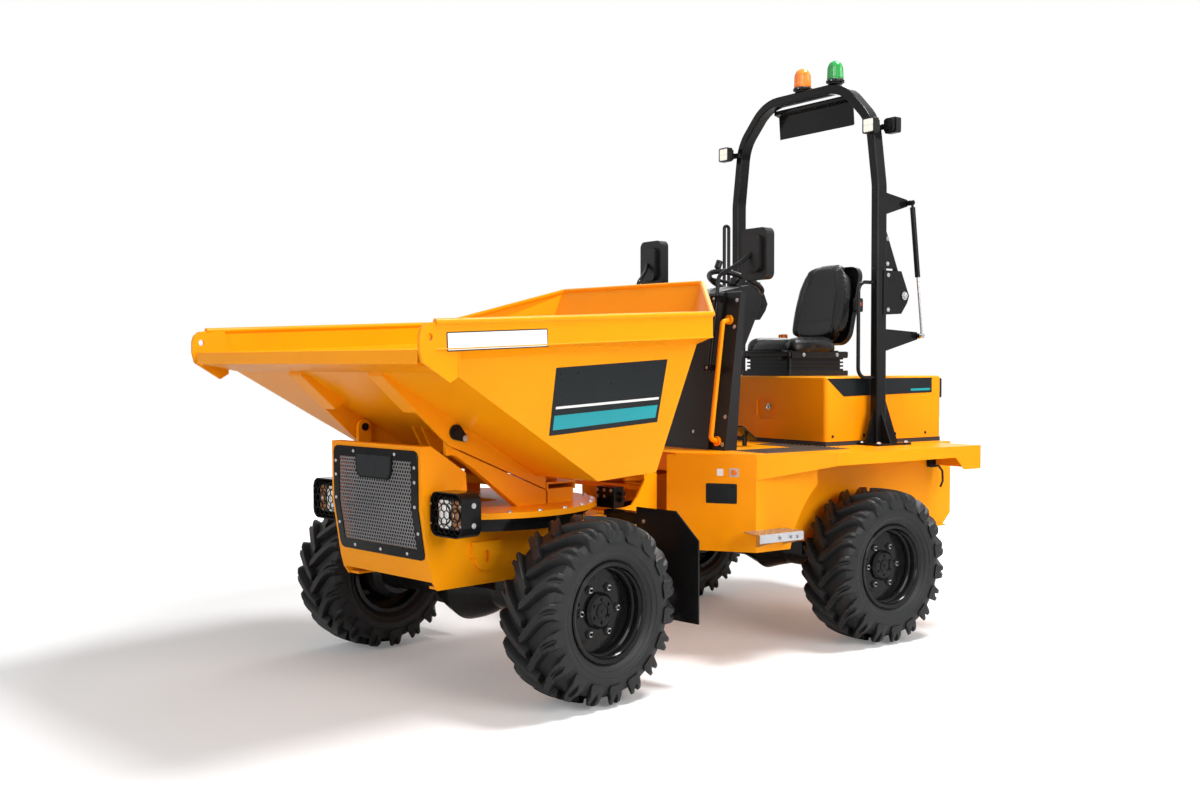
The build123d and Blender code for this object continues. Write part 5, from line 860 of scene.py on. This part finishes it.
class DUMPER_OT_seat(bpy.types.Operator):
    """Builds the seat's two pads with bolsters, channels, seams, shell and buckle"""

    bl_idname = "dumper.seat"
    bl_label = "Seat"

    def execute(self, context):
        seat = settings("dumper_seat")

        def cushion_rise(u, v):
            edge = (1 - abs(u) ** 7) * (1 - abs(v) ** 8)
            bolster = 16.0 * math.exp(-((abs(u) - 0.80) / 0.16) ** 2)
            channel = 5.0 * (math.exp(-((abs(u) - 0.56) / 0.035) ** 2)
                             + (math.exp(-((v + 0.15) / 0.035) ** 2) if abs(u) < 0.56 else 0.0))
            return 22.0 + 40.0 * edge ** 0.5 + (bolster - channel) * edge ** 0.5 - 6.0 * max(0.0, -v)

        def back_rise(u, v):
            edge = (1 - abs(u) ** 7) * (1 - abs(v) ** 10)
            bolster = 22.0 * math.exp(-((abs(u) - 0.82) / 0.17) ** 2)
            bolster *= 1.0 if v < 0.35 else max(0.0, 1.35 - v)
            seam = 0.62 - 0.20 * max(0.0, v) ** 2
            channel = 6.0 * math.exp(-((abs(u) - seam) / 0.04) ** 2)
            channel += 4.0 * math.exp(-((v + 0.52) / 0.03) ** 2) if abs(u) < seam else 0.0
            return 16.0 + 30.0 * edge ** 0.5 + (bolster - channel) * edge ** 0.5

        up_back = (BACK_TOP - BACK_FOOT).normalized()
        pads = (
            # name, mesh, place, the node it stands for
            ("cushion_pad", pad_surface(446, 350, 44, 36, cushion_rise, corner_pull(26)),
             Matrix.Translation((-2100, 0, 1443)) @ Matrix.Rotation(radians(90), 4, "Z"), "seat_cushion"),
            ("backrest_pad", pad_surface(430, 470, 42, 44, back_rise, corner_pull(60, 42)),
             facing((-2372, 0, 1712), up_back.cross(Vector((0, 1, 0))) * -1, up_back), "seat_backrest"),
        )
        for name, mesh, place, node in pads:
            mesh.transform(place)
            pad = put(name, mesh, REAR, "power_cover", ["seat_vinyl"], 80.0, (node,))
            swollen(pad, seat)
            for polygon in pad.data.polygons:
                polygon.use_smooth = True
            soft = pad.modifiers.new("Softened", "SUBSURF")
            soft.levels = soft.render_levels = 1
        self.shell_and_buckle()
        return {"FINISHED"}

    def shell_and_buckle(self):
        """The moulded back shell, the tray and sides under the cushion, and the buckle with its belt."""
        mesh = bmesh.new()
        back = facing((-2408, 0, 1700), (-0.973, 0, -0.231), (-0.231, 0, 0.973))
        loops = moulding(mesh, back, ((400, 440, 70, -22), (410, 450, 74, 4), (380, 420, 64, 20),
                                      (250, 300, 50, 26)), 6)
        mesh.faces.new(loops[-1])
        for z in (-70, 0, 70):
            prism(mesh, rounded(210, 14, 6, 3), back @ Matrix.Translation((0, z, 24)), 5.0)
        tray = facing((-2100, 0, 1441.5), (0, 0, 1))
        prism(mesh, rounded(440, 346, 40, 6), tray, 9.0)
        for side in (1, -1):
            prism(mesh, rounded(420, 36, 8, 3), facing((-2135, side * 186, 1427), (0, side, 0)), 10.0)
            for x in (-2010, -2260):
                bolt(mesh, (x, side * 197, 1427), (0, side, 0), 13.0, 1)
        prism(mesh, rounded(26, 60, 8, 4), facing((-1930, 120, 1424), (1, 0, 0.3)), 16.0)
        put("seat_shell", mesh, REAR, "power_cover", ["black_plastic", "bright_steel"], 35.0)
        belt = bmesh.new()
        prism(belt, rounded(20, 5, 2, 2), facing((-2280, -248.5, 1534), (0.1, 0, 1)), 10.0, 0)
        for way in (1, -1):
            prism(belt, rounded(40, 88, 9, 4), facing((-2280, -249 + way * 13.2, 1504), (0, way, 0)), 3.0, 1)
        prism(belt, rounded(20, 84, 6, 3), facing((-2256.5, -249, 1504), (1, 0, 0)), 4.0, 1)
        lathe(belt, [(12, 0), (12, 3), (8, 5), (0, 5)], facing((-2379, 251.2, 1704), (0, 1, 0)), 28, 2)
        put("buckle_slot", belt, REAR, "power_cover",
            ["dark_core", "cap_orange", "buckle_red"], 30.0)


# ---- Plates, bands, grips and covers ----
BAND_FRONT_X, BAND_FRONT_Y = 847.0, 850.0  # front end of the skip's left band
BAND_BACK, BAND_OUT, BAND_UP = 1394.0, 93.0, 62.0  # from there to its rear end
WALL_FOOT_Y, WALL_FOOT_Z = 733.0, 895.0  # foot of the skip's side wall
WALL_LEAN = 0.129  # sideways for each millimetre up
CHAMFER_X, CHAMFER_Y = -950, 358  # front end of the hull's chamfered corner
CHAMFER_BACK, CHAMFER_OUT = 250, 357  # from there to its outer end


def band_y(x):
    """Y on the outside of the skip's side band."""
    return BAND_FRONT_Y + (BAND_FRONT_X - x) * BAND_OUT / BAND_BACK


def side_plate(mesh, side, y, corners, material):
    """A flat plate one millimetre thick that stands on an upright side at some y."""
    rows = [[mesh.verts.new((x, side * at, z)) for x, z in corners] for at in (y, y + 1.0)]
    mesh.faces.new(rows[1]).material_index = material
    ring_faces(mesh, rows, material=material)


class DUMPER_OT_plates(bpy.types.Operator):
    """Adds the blank plates and coloured bands on the skip, cover and hull"""

    bl_idname = "dumper.plates"
    bl_label = "Plates and bands"

    def execute(self, context):
        skip_plates = bmesh.new()
        hull_plates = bmesh.new()
        for side in (1, -1):
            slant = Vector((-BAND_BACK, side * BAND_OUT, BAND_UP)).normalized()
            out = Vector((0, side, 0)) - slant * slant.y * side
            middle = Vector((573.0, side * (band_y(573.0) + 0.4), 1468.5))
            place = facing(middle, out, Vector((0, 0, 1)) - slant * slant.z)
            prism(skip_plates, rounded(458, 70, 4), place, 1.0, 0)
            prism(skip_plates, rounded(450, 62, 2), place, 1.4, 1)
            wall = Vector((0, side, -WALL_LEAN)).normalized()
            along, up = Vector((-1, 0, 0)), wall.cross(Vector((-1, 0, 0))) * side
            mark_z = 1248.0
            wall_y = WALL_FOOT_Y + WALL_LEAN * (mark_z - WALL_FOOT_Z)
            origin = Vector((-90.0, side * wall_y, mark_z)) + wall * 0.5

            def on_wall(corners, lift, finish_index):
                low, top = [
                    [skip_plates.verts.new(origin + along * a + up * b + wall * rise) for a, b in corners]
                    for rise in (0.0, lift)
                ]
                skip_plates.faces.new(top).material_index = finish_index
                ring_faces(skip_plates, [low, top], material=finish_index)

            on_wall(((-317, -154), (302, -118), (329, 152), (-309, 117)), 1.0, 2)
            on_wall(((-300, -132), (287, -98), (293, -44), (-298, -74)), 1.6, 3)
            on_wall(((-294, -48), (296, -20), (297, -10), (-294, -38)), 1.6, 1)
        put("skip_plates", skip_plates, FRONT, "skip",
            ["black_paint", "white_plate", "dark_plate", "stripe_plate"], 20.0)
        for side in (1, -1):
            across = Vector((-CHAMFER_BACK, side * CHAMFER_OUT, 0)).normalized()
            out = Vector((CHAMFER_OUT, side * CHAMFER_BACK, 0)).normalized()
            for along, height, width, tall, finish_index in (
                (269, 768, 150, 94, 1), (262, 868, 32, 34, 0), (330, 868, 44, 40, 2),
            ):
                spot = Vector((CHAMFER_X, side * CHAMFER_Y, height)) + across * along + out * 0.3
                prism(hull_plates, rounded(width, tall, 5), facing(spot, out), 1.2, finish_index)
            spot = Vector((CHAMFER_X, side * CHAMFER_Y, 868)) + across * 330 + out * 1.4
            lathe(hull_plates, [(15, 0), (15, 5), (12, 8), (0, 9)], facing(spot, out), 32, 3)
        put("hull_plates", hull_plates, REAR, "rear_frame",
            ["white_plate", "dark_plate", "bright_steel", "cap_orange"], 25.0)
        band = bmesh.new()
        for side in (1, -1):
            side_plate(band, side, COVER_SIDE_Y + 0.4,
                       ((-2008, 1209), (COVER_FRONT_X - 8, 1302), (-2690, 1302), (-2690, 1222)), 0)
            side_plate(band, side, COVER_SIDE_Y + 0.8,
                       ((-2520, 1232), (-2520, 1244), (-2676, 1246), (-2676, 1234)), 1)
        put("cover_bands", band, REAR, "power_cover", ["dark_plate", "stripe_plate"], 20.0)
        return {"FINISHED"}


GRIP_PITCH_X, GRIP_PITCH_Y = 21, 30


class DUMPER_OT_deck_fittings(bpy.types.Operator):
    """Adds the deck's grip plates, the rear hooks, and the cover's lock and bolts"""

    bl_idname = "dumper.deck_fittings"
    bl_label = "Deck fittings"

    def execute(self, context):
        mesh = bmesh.new()
        for side in (1, -1):
            for x0, x1, y0, y1 in ((-1845, -1290, 455, 690), (-1845, -1700, 160, 450)):
                for i in range(int((x1 - x0) / GRIP_PITCH_X)):
                    for j in range(int((y1 - y0) / GRIP_PITCH_Y)):
                        x, y = x0 + GRIP_PITCH_X * i + 12, y0 + GRIP_PITCH_Y * j + 16
                        lathe(mesh, [(8.0, 0), (8.0, 1.6), (6.0, 2.4), (5.2, 0.6), (0, 0.5)],
                              Matrix.Translation((x, side * y, DECK_Z + 2.0)), 10, 0)
                prism(mesh, [(x0, side * y0), (x1, side * y0), (x1, side * y1), (x0, side * y1)],
                      Matrix.Translation((0, 0, DECK_Z)), 2.0, 0)
        for side in (1, -1):
            hook = [Vector((-2620, side * 592, 838)), Vector((-2652, side * 600, 800)),
                    Vector((-2655, side * 600, 745)), Vector((-2636, side * 600, 715))]
            rings = []
            for i, point in enumerate(hook):
                way = (hook[min(i + 1, 3)] - hook[max(i - 1, 0)]).normalized()
                rings.append(loop_at(mesh, facing(point, way, (0, 1, 0)), regular(6, 10)))
            ring_faces(mesh, rings, material=1)
            mesh.faces.new(rings[0]).material_index = 1
            mesh.faces.new(rings[-1]).material_index = 1
            prism(mesh, rounded(60, 46, 8), facing((-2596, side * 566, 845), (0, side, 0)), 24.0, 1)
        put("deck_grips", mesh, REAR, "rear_frame", ["deck_grip", "black_paint"], 30.0)
        lock = bmesh.new()
        place = facing((COVER_FRONT_X - 8, 61, 1146), (1, 0, 0))
        lathe(lock, [(17, 0), (17, 8), (14, 10), (13, 8.4), (0, 8.4)], place, 32, 1)
        prism(lock, rounded(5, 18, 2, 2), place, 10.0, 0)
        for side in (1, -1):
            for x in (-1930, -2160, -2400, -2640):
                bolt(lock, (x, side * COVER_SIDE_Y, 1004), (0, side, 0), 10.0, 0)
            for y in (170, 350):
                bolt(lock, (-2769.5, side * y, 1020), (-1, 0, 0), 12.0, 1)
        put("cover_fittings", lock, REAR, "power_cover", ["black_plastic", "bright_steel"], 30.0)
        return {"FINISHED"}


SCREEN_FOOT_X = -1233.0
SCREEN_RAKE = 0.1308  # backwards for each millimetre up
PEDAL_X = -1560.0


def screen_x(height):
    """X of the screen's raked side rails."""
    return SCREEN_FOOT_X - SCREEN_RAKE * (height - DECK_Z)


class DUMPER_OT_controls(bpy.types.Operator):
    """Adds mirror glass, screen bolts, the instrument panel, switches, pedals and the wheel's boss"""

    bl_idname = "dumper.controls"
    bl_label = "Controls and mirrors"

    def execute(self, context):
        mesh = bmesh.new()
        for side in (1, -1):
            place = facing((-1497.2, side * 419, 1922), (-1, 0, 0))
            prism(mesh, rounded(168, 238, 28, 6), place, 1.2, 0)
            moulding(mesh, place, ((184, 254, 34, 0), (184, 254, 34, 3), (170, 240, 29, 3.4),
                                   (167, 237, 28, 1)), 6, 1)
            for z in (1360, 1700):
                bolt(mesh, (screen_x(z) + 58, side * 322, z), (1, 0, 0), 10.0, 2)
            for z in (985, 1120, 1560, 1690):
                bolt(mesh, (screen_x(z) - 14, side * 415, z), (1, 0, 0.13), 13.0, 2)
        for y in (-200, 0, 200):
            bolt(mesh, (screen_x(1040), y, 1040), (1, 0, 0.13), 10.0, 2)
        console = facing((-1709, 0, 1765), (-0.521, 0, 0.853), (0.853, 0, 0.521))
        prism(mesh, rounded(150, 66, 8), console, 3.0, 1)
        prism(mesh, rounded(108, 50, 4), console, 4.4, 3)
        for column in (-1, 1):
            knob = console @ Matrix.Translation((64 * column, 0, 3))
            lathe(mesh, [(9, 0), (9, 8), (6, 10), (0, 10)], knob, 24, 1)
        slope = facing((-1681, 0, 1563), (-0.889, 0, 0.457), (0.457, 0, 0.889))
        for row in range(2):
            for column in range(4):
                spot = slope @ Matrix.Translation((-72 + 48 * column, 30 - 60 * row, -1))
                prism(mesh, rounded(30, 42, 4), spot, 5.0, 1)
                prism(mesh, rounded(22, 16, 3), spot @ Matrix.Translation((0, 9, 0)), 7.5, 1)
                prism(mesh, rounded(10, 3, 1, 2), spot @ Matrix.Translation((0, 13, 7.4)), 0.4, 4)
        for side, width in ((1, 70), (-1, 90)):
            place = facing((PEDAL_X, side * 235, 1020), (-0.6, 0, 0.8))
            prism(mesh, rounded(width, 120, 10), place, 8.0, 1)
            for rib in range(5):
                spot = place @ Matrix.Translation((0, -40 + 20 * rib, 7))
                prism(mesh, rounded(width - 14, 7, 3, 2), spot, 4.0, 1)
            stem = facing((PEDAL_X + 5, side * 235, 958), (0, 0, 1))
            prism(mesh, rounded(24, 14, 4, 2), stem, 58.0, 1)
        wheel_mesh = bmesh.new()
        tilt = radians(23.5)
        column = facing((-1697.0, 0, 1806.0), (-sin(tilt), 0, cos(tilt)))
        lathe(wheel_mesh, [(30, 19.5), (29, 23), (20, 26), (0, 27)], column, 36, 0)
        for x, y in regular(146, 24):
            spot = column @ Matrix.Translation((x, y, -13.6))
            lathe(wheel_mesh, [(4.0, 0), (3.4, -1.0), (0, -1.2)], spot, 10, 0)
        put("wheel_boss", wheel_mesh, REAR, "steering_wheel", ["black_plastic"], 40.0)
        put("driver_controls", mesh, REAR, "rear_frame",
            ["mirror_glass", "black_plastic", "bright_steel", "dark_plate", "white_plate"], 35.0)
        return {"FINISHED"}


RING_BOLTS_R, RING_TOP_Z = 535, 770
RIPPLE = 7  # distance between the ripples of a weld bead


class DUMPER_OT_frame_bolts(bpy.types.Operator):
    """Adds bolts at the hoop, the ring, the skip's hinge, the valve block and the mudguards"""

    bl_idname = "dumper.frame_bolts"
    bl_label = "Frame bolts"

    def execute(self, context):
        rear = bmesh.new()
        for side in (1, -1):
            for x in (-2330, -2125):
                for y in (512, 625):
                    bolt(rear, (x, side * y, 967), (0, 0, 1), 19.0, 1)
            bolt(rear, (-2365, side * 580, 1735), (0, side, 0), 26.0, 1)
            for z in (1660, 1840):
                bolt(rear, (-2245, side * 576, z), (0, side, 0), 13.0, 1)
        bolt(rear, (-2474, 613.5, 1526), (0, 1, 0), 13.0, 1)
        for x in (-1230, -1300, -1340):
            bolt(rear, (x, 856, 577), (0, 1, 0), 10.0, 1)
            bolt(rear, (x, -856, 577), (0, -1, 0), 10.0, 1)
        put("post_bolts", rear, REAR, "rear_frame", ["black_paint", "bright_steel"], 30.0)
        hoop = bmesh.new()
        for side in (1, -1):
            for z in (1900, 2030):
                bolt(hoop, (-2255, side * 561, z), (0, side, 0), 13.0, 1)
        for y in (-260, -90, 90, 260):
            bolt(hoop, (-2274, y, 2801), (-0.5, 0, 0.85), 10.0, 1)
        put("hoop_bolts", hoop, REAR, "rops_hoop", ["black_paint", "bright_steel"], 30.0)
        front = bmesh.new()
        for x, y in regular(RING_BOLTS_R, 24, 7.5):
            if x > 270 and abs(y) < 335 or (x > 330 and abs(y) < 560):
                continue
            bolt(front, (x, y, RING_TOP_Z), (0, 0, 1), 16.0, 1)
        for side in (1, -1):
            pin_end = facing((TIP_PIN_X, side * 354, TIP_PIN_Z), (0, side, 0))
            lathe(front, [(17, 0), (17, 6), (14, 8), (0, 8)], pin_end, 32, 0)
            bolt(front, (TIP_PIN_X - 44, side * 354, TIP_PIN_Z - 27), (0, side, 0), 15.0, 1)
            for y in (345, 585):
                bolt(front, (-496, side * y, 680), (1, 0, 0), 11.0, 1)
        for y, z in ((170, 785), (170, 755), (215, 785), (215, 755), (258, 785)):
            bolt(front, (-620, y, z), (1, 0, 0), 15.0, 1, False)
        put("front_bolts", front, FRONT, "front_frame", ["black_paint", "bright_steel"], 30.0)
        return {"FINISHED"}


class DUMPER_OT_welds(bpy.types.Operator):
    """Lays rippled weld beads along the skip's corners and eye plates"""

    bl_idname = "dumper.welds"
    bl_label = "Weld beads"

    def execute(self, context):
        mesh = bmesh.new()
        for side in (1, -1):
            for start, end in (
                ((847, side * 850, 1431), (-547, side * 943, 1492)),
                ((745, side * 850.5, 1333), (743, side * 850.5, 1448)),
                ((-128, side * 346.5, 900), (-70, side * 346.5, 897)),
                ((0, side * 346.5, 934), (360, side * 346.5, 1138)),
            ):
                first, run = Vector(start), Vector(end) - Vector(start)
                count = max(6, int(run.length / RIPPLE))
                place = facing(first, run)
                rings = []
                for i in range(count + 1):
                    swell = 2.6 + 0.7 * (i % 2)
                    rings.append(loop_at(mesh, place, regular(swell, 8), run.length * i / count))
                ring_faces(mesh, rings)
                mesh.faces.new(list(reversed(rings[0])))
                mesh.faces.new(rings[-1])
        put("skip_welds", mesh, FRONT, "skip", ["yellow_paint"], 60.0)
        return {"FINISHED"}


# ---- Stage ----
LAMPS = (
    # name, place, size, power
    ("key", (-2.3, 1.9, 7.4), 2.0, 560),
    ("side", (-0.6, 7.2, 3.6), 4.6, 300),
    ("front", (6.4, 2.6, 3.0), 3.6, 130),
    ("back", (-5.5, -4.0, 5.0), 4.0, 120),
)
LAMPS_AIM = (0.0, 0.0, 1.1)
AMBIENT = 0.30
CAMERA_PLACE = (3.70531, 5.01142, 1.3809)
CAMERA_HEADING, CAMERA_DIP, CAMERA_ROLL = radians(234.755), radians(1.622), radians(-0.05)
FLOOR_FADE = (2.6, 5.2)  # where the floor turns from grey to white, from the middle


def soft_lamp(name, place, target, size, power):
    """A round lamp that looks at a target."""
    lamp = bpy.data.lights.new(name, "AREA")
    lamp.shape = "DISK"
    lamp.size = size
    lamp.energy = power
    holder = bpy.data.objects.new(name, lamp)
    holder.location = place
    holder.rotation_euler = (Vector(target) - Vector(place)).to_track_quat("-Z", "Y").to_euler()
    bpy.context.collection.objects.link(holder)


def whitened(tree, shader, out):
    """Shows a plain white where the camera, a reflection or glass looks straight at it."""
    nodes, links = tree.nodes, tree.links
    path = nodes.new("ShaderNodeLightPath")
    first = maths(tree, "MAXIMUM", path.outputs["Is Camera Ray"], path.outputs["Is Glossy Ray"])
    seen = maths(tree, "MAXIMUM", first, path.outputs["Is Transmission Ray"])
    plain = nodes.new("ShaderNodeBackground")
    plain.inputs["Color"].default_value = (1, 1, 1, 1)
    mix = nodes.new("ShaderNodeMixShader")
    links.new(seen, mix.inputs[0])
    links.new(shader, mix.inputs[1])
    links.new(plain.outputs[0], mix.inputs[2])
    links.new(mix.outputs[0], out)


class DUMPER_OT_stage(bpy.types.Operator):
    """Sets the pale floor, the soft studio lamps, the background and the camera"""

    bl_idname = "dumper.stage"
    bl_label = "Stage"

    def execute(self, context):
        scene = context.scene
        choice = settings("dumper_stage")
        mesh = bmesh.new()
        reach, cells = 22.0, 12
        lines = [-reach + 2 * reach * i / cells for i in range(cells + 1)]
        grid = [[mesh.verts.new((x, y, 0.0)) for x in lines] for y in lines]
        ring_faces(mesh, grid, closed=False)
        data = bpy.data.meshes.new("floor")
        mesh.to_mesh(data)
        mesh.free()
        floor = bpy.data.objects.new("floor", data)
        bpy.context.collection.objects.link(floor)
        material = bpy.data.materials.new("pale_floor")
        material.use_nodes = True
        tree = material.node_tree
        shader = tree.nodes["Principled BSDF"]
        shader.inputs["Base Color"].default_value = (*choice.floor, 1.0)
        shader.inputs["Roughness"].default_value = 0.9
        shader.inputs["Specular IOR Level"].default_value = 0.1
        path = tree.nodes.new("ShaderNodeLightPath")
        distance = tree.nodes.new("ShaderNodeVectorMath")
        distance.operation = "LENGTH"
        tree.links.new(tree.nodes.new("ShaderNodeTexCoord").outputs["Object"], distance.inputs[0])
        far_off = ramped(tree, distance.outputs["Value"], *FLOOR_FADE, 0.14, 1.0)
        lift = maths(tree, "MULTIPLY", path.outputs["Is Camera Ray"], far_off)
        shader.inputs["Emission Color"].default_value = (1, 1, 1, 1)
        tree.links.new(lift, shader.inputs["Emission Strength"])
        data.materials.append(material)

        world = bpy.data.worlds.new("studio")
        scene.world = world
        world.use_nodes = True
        tree = world.node_tree
        ambient = tree.nodes["Background"]
        ambient.inputs["Color"].default_value = (1.0, 1.0, 1.0, 1)
        ambient.inputs["Strength"].default_value = AMBIENT
        whitened(tree, ambient.outputs[0], tree.nodes["World Output"].inputs["Surface"])

        for name, place, size, power in LAMPS:
            soft_lamp(name, place, LAMPS_AIM, size, power)

        camera_data = bpy.data.cameras.new("camera")
        camera_data.lens = choice.lens
        camera_data.sensor_width = 36.0
        camera = bpy.data.objects.new("camera", camera_data)
        camera.location = CAMERA_PLACE
        ahead = cos(CAMERA_DIP)
        view = Vector((cos(CAMERA_HEADING) * ahead, sin(CAMERA_HEADING) * ahead, -sin(CAMERA_DIP)))
        roll = Matrix.Rotation(CAMERA_ROLL, 4, "Z").to_quaternion()
        camera.rotation_mode = "QUATERNION"
        camera.rotation_quaternion = view.to_track_quat("-Z", "Y") @ roll
        bpy.context.collection.objects.link(camera)
        scene.camera = camera
        scene.view_settings.view_transform = "Standard"
        return {"FINISHED"}


# ---- Panel and registration ----
OPERATORS = (
    DUMPER_OT_finishes, DUMPER_OT_tyres, DUMPER_OT_wheel_fixings, DUMPER_OT_grille, DUMPER_OT_headlamps,
    DUMPER_OT_beacons, DUMPER_OT_work_lamps, DUMPER_OT_seat, DUMPER_OT_plates, DUMPER_OT_deck_fittings,
    DUMPER_OT_controls, DUMPER_OT_frame_bolts, DUMPER_OT_welds, DUMPER_OT_stage,
)
SETTINGS = {
    "dumper_tyre": TYRE_PG_settings, "dumper_grille": GRILLE_PG_settings, "dumper_seat": SEAT_PG_settings,
    "dumper_paint": PAINT_PG_settings, "dumper_stage": STAGE_PG_settings,
}


class DUMPER_PT_sidebar(bpy.types.Panel):
    """Lists the pieces and the values they are made with"""

    bl_idname = "DUMPER_PT_sidebar"
    bl_label = "Site dumper"
    bl_space_type = "VIEW_3D"
    bl_region_type = "UI"
    bl_category = "Dumper"

    def draw(self, context):
        for name, group in SETTINGS.items():
            box = self.layout.box()
            for field in group.__annotations__:
                box.prop(getattr(context.scene, name), field)
        for operator in OPERATORS:
            self.layout.operator(operator.bl_idname)


CLASSES = (*SETTINGS.values(), *OPERATORS, DUMPER_PT_sidebar)


def register():
    for item in CLASSES:
        bpy.utils.register_class(item)
    for name, group in SETTINGS.items():
        setattr(bpy.types.Scene, name, PointerProperty(type=group))


def unregister():
    for name in SETTINGS:
        delattr(bpy.types.Scene, name)
    for item in reversed(CLASSES):
        bpy.utils.unregister_class(item)


def main():
    register()
    for operator in OPERATORS:
        group, call = operator.bl_idname.split(".")
        getattr(getattr(bpy.ops, group), call)()


if __name__ == "__main__":
    main()
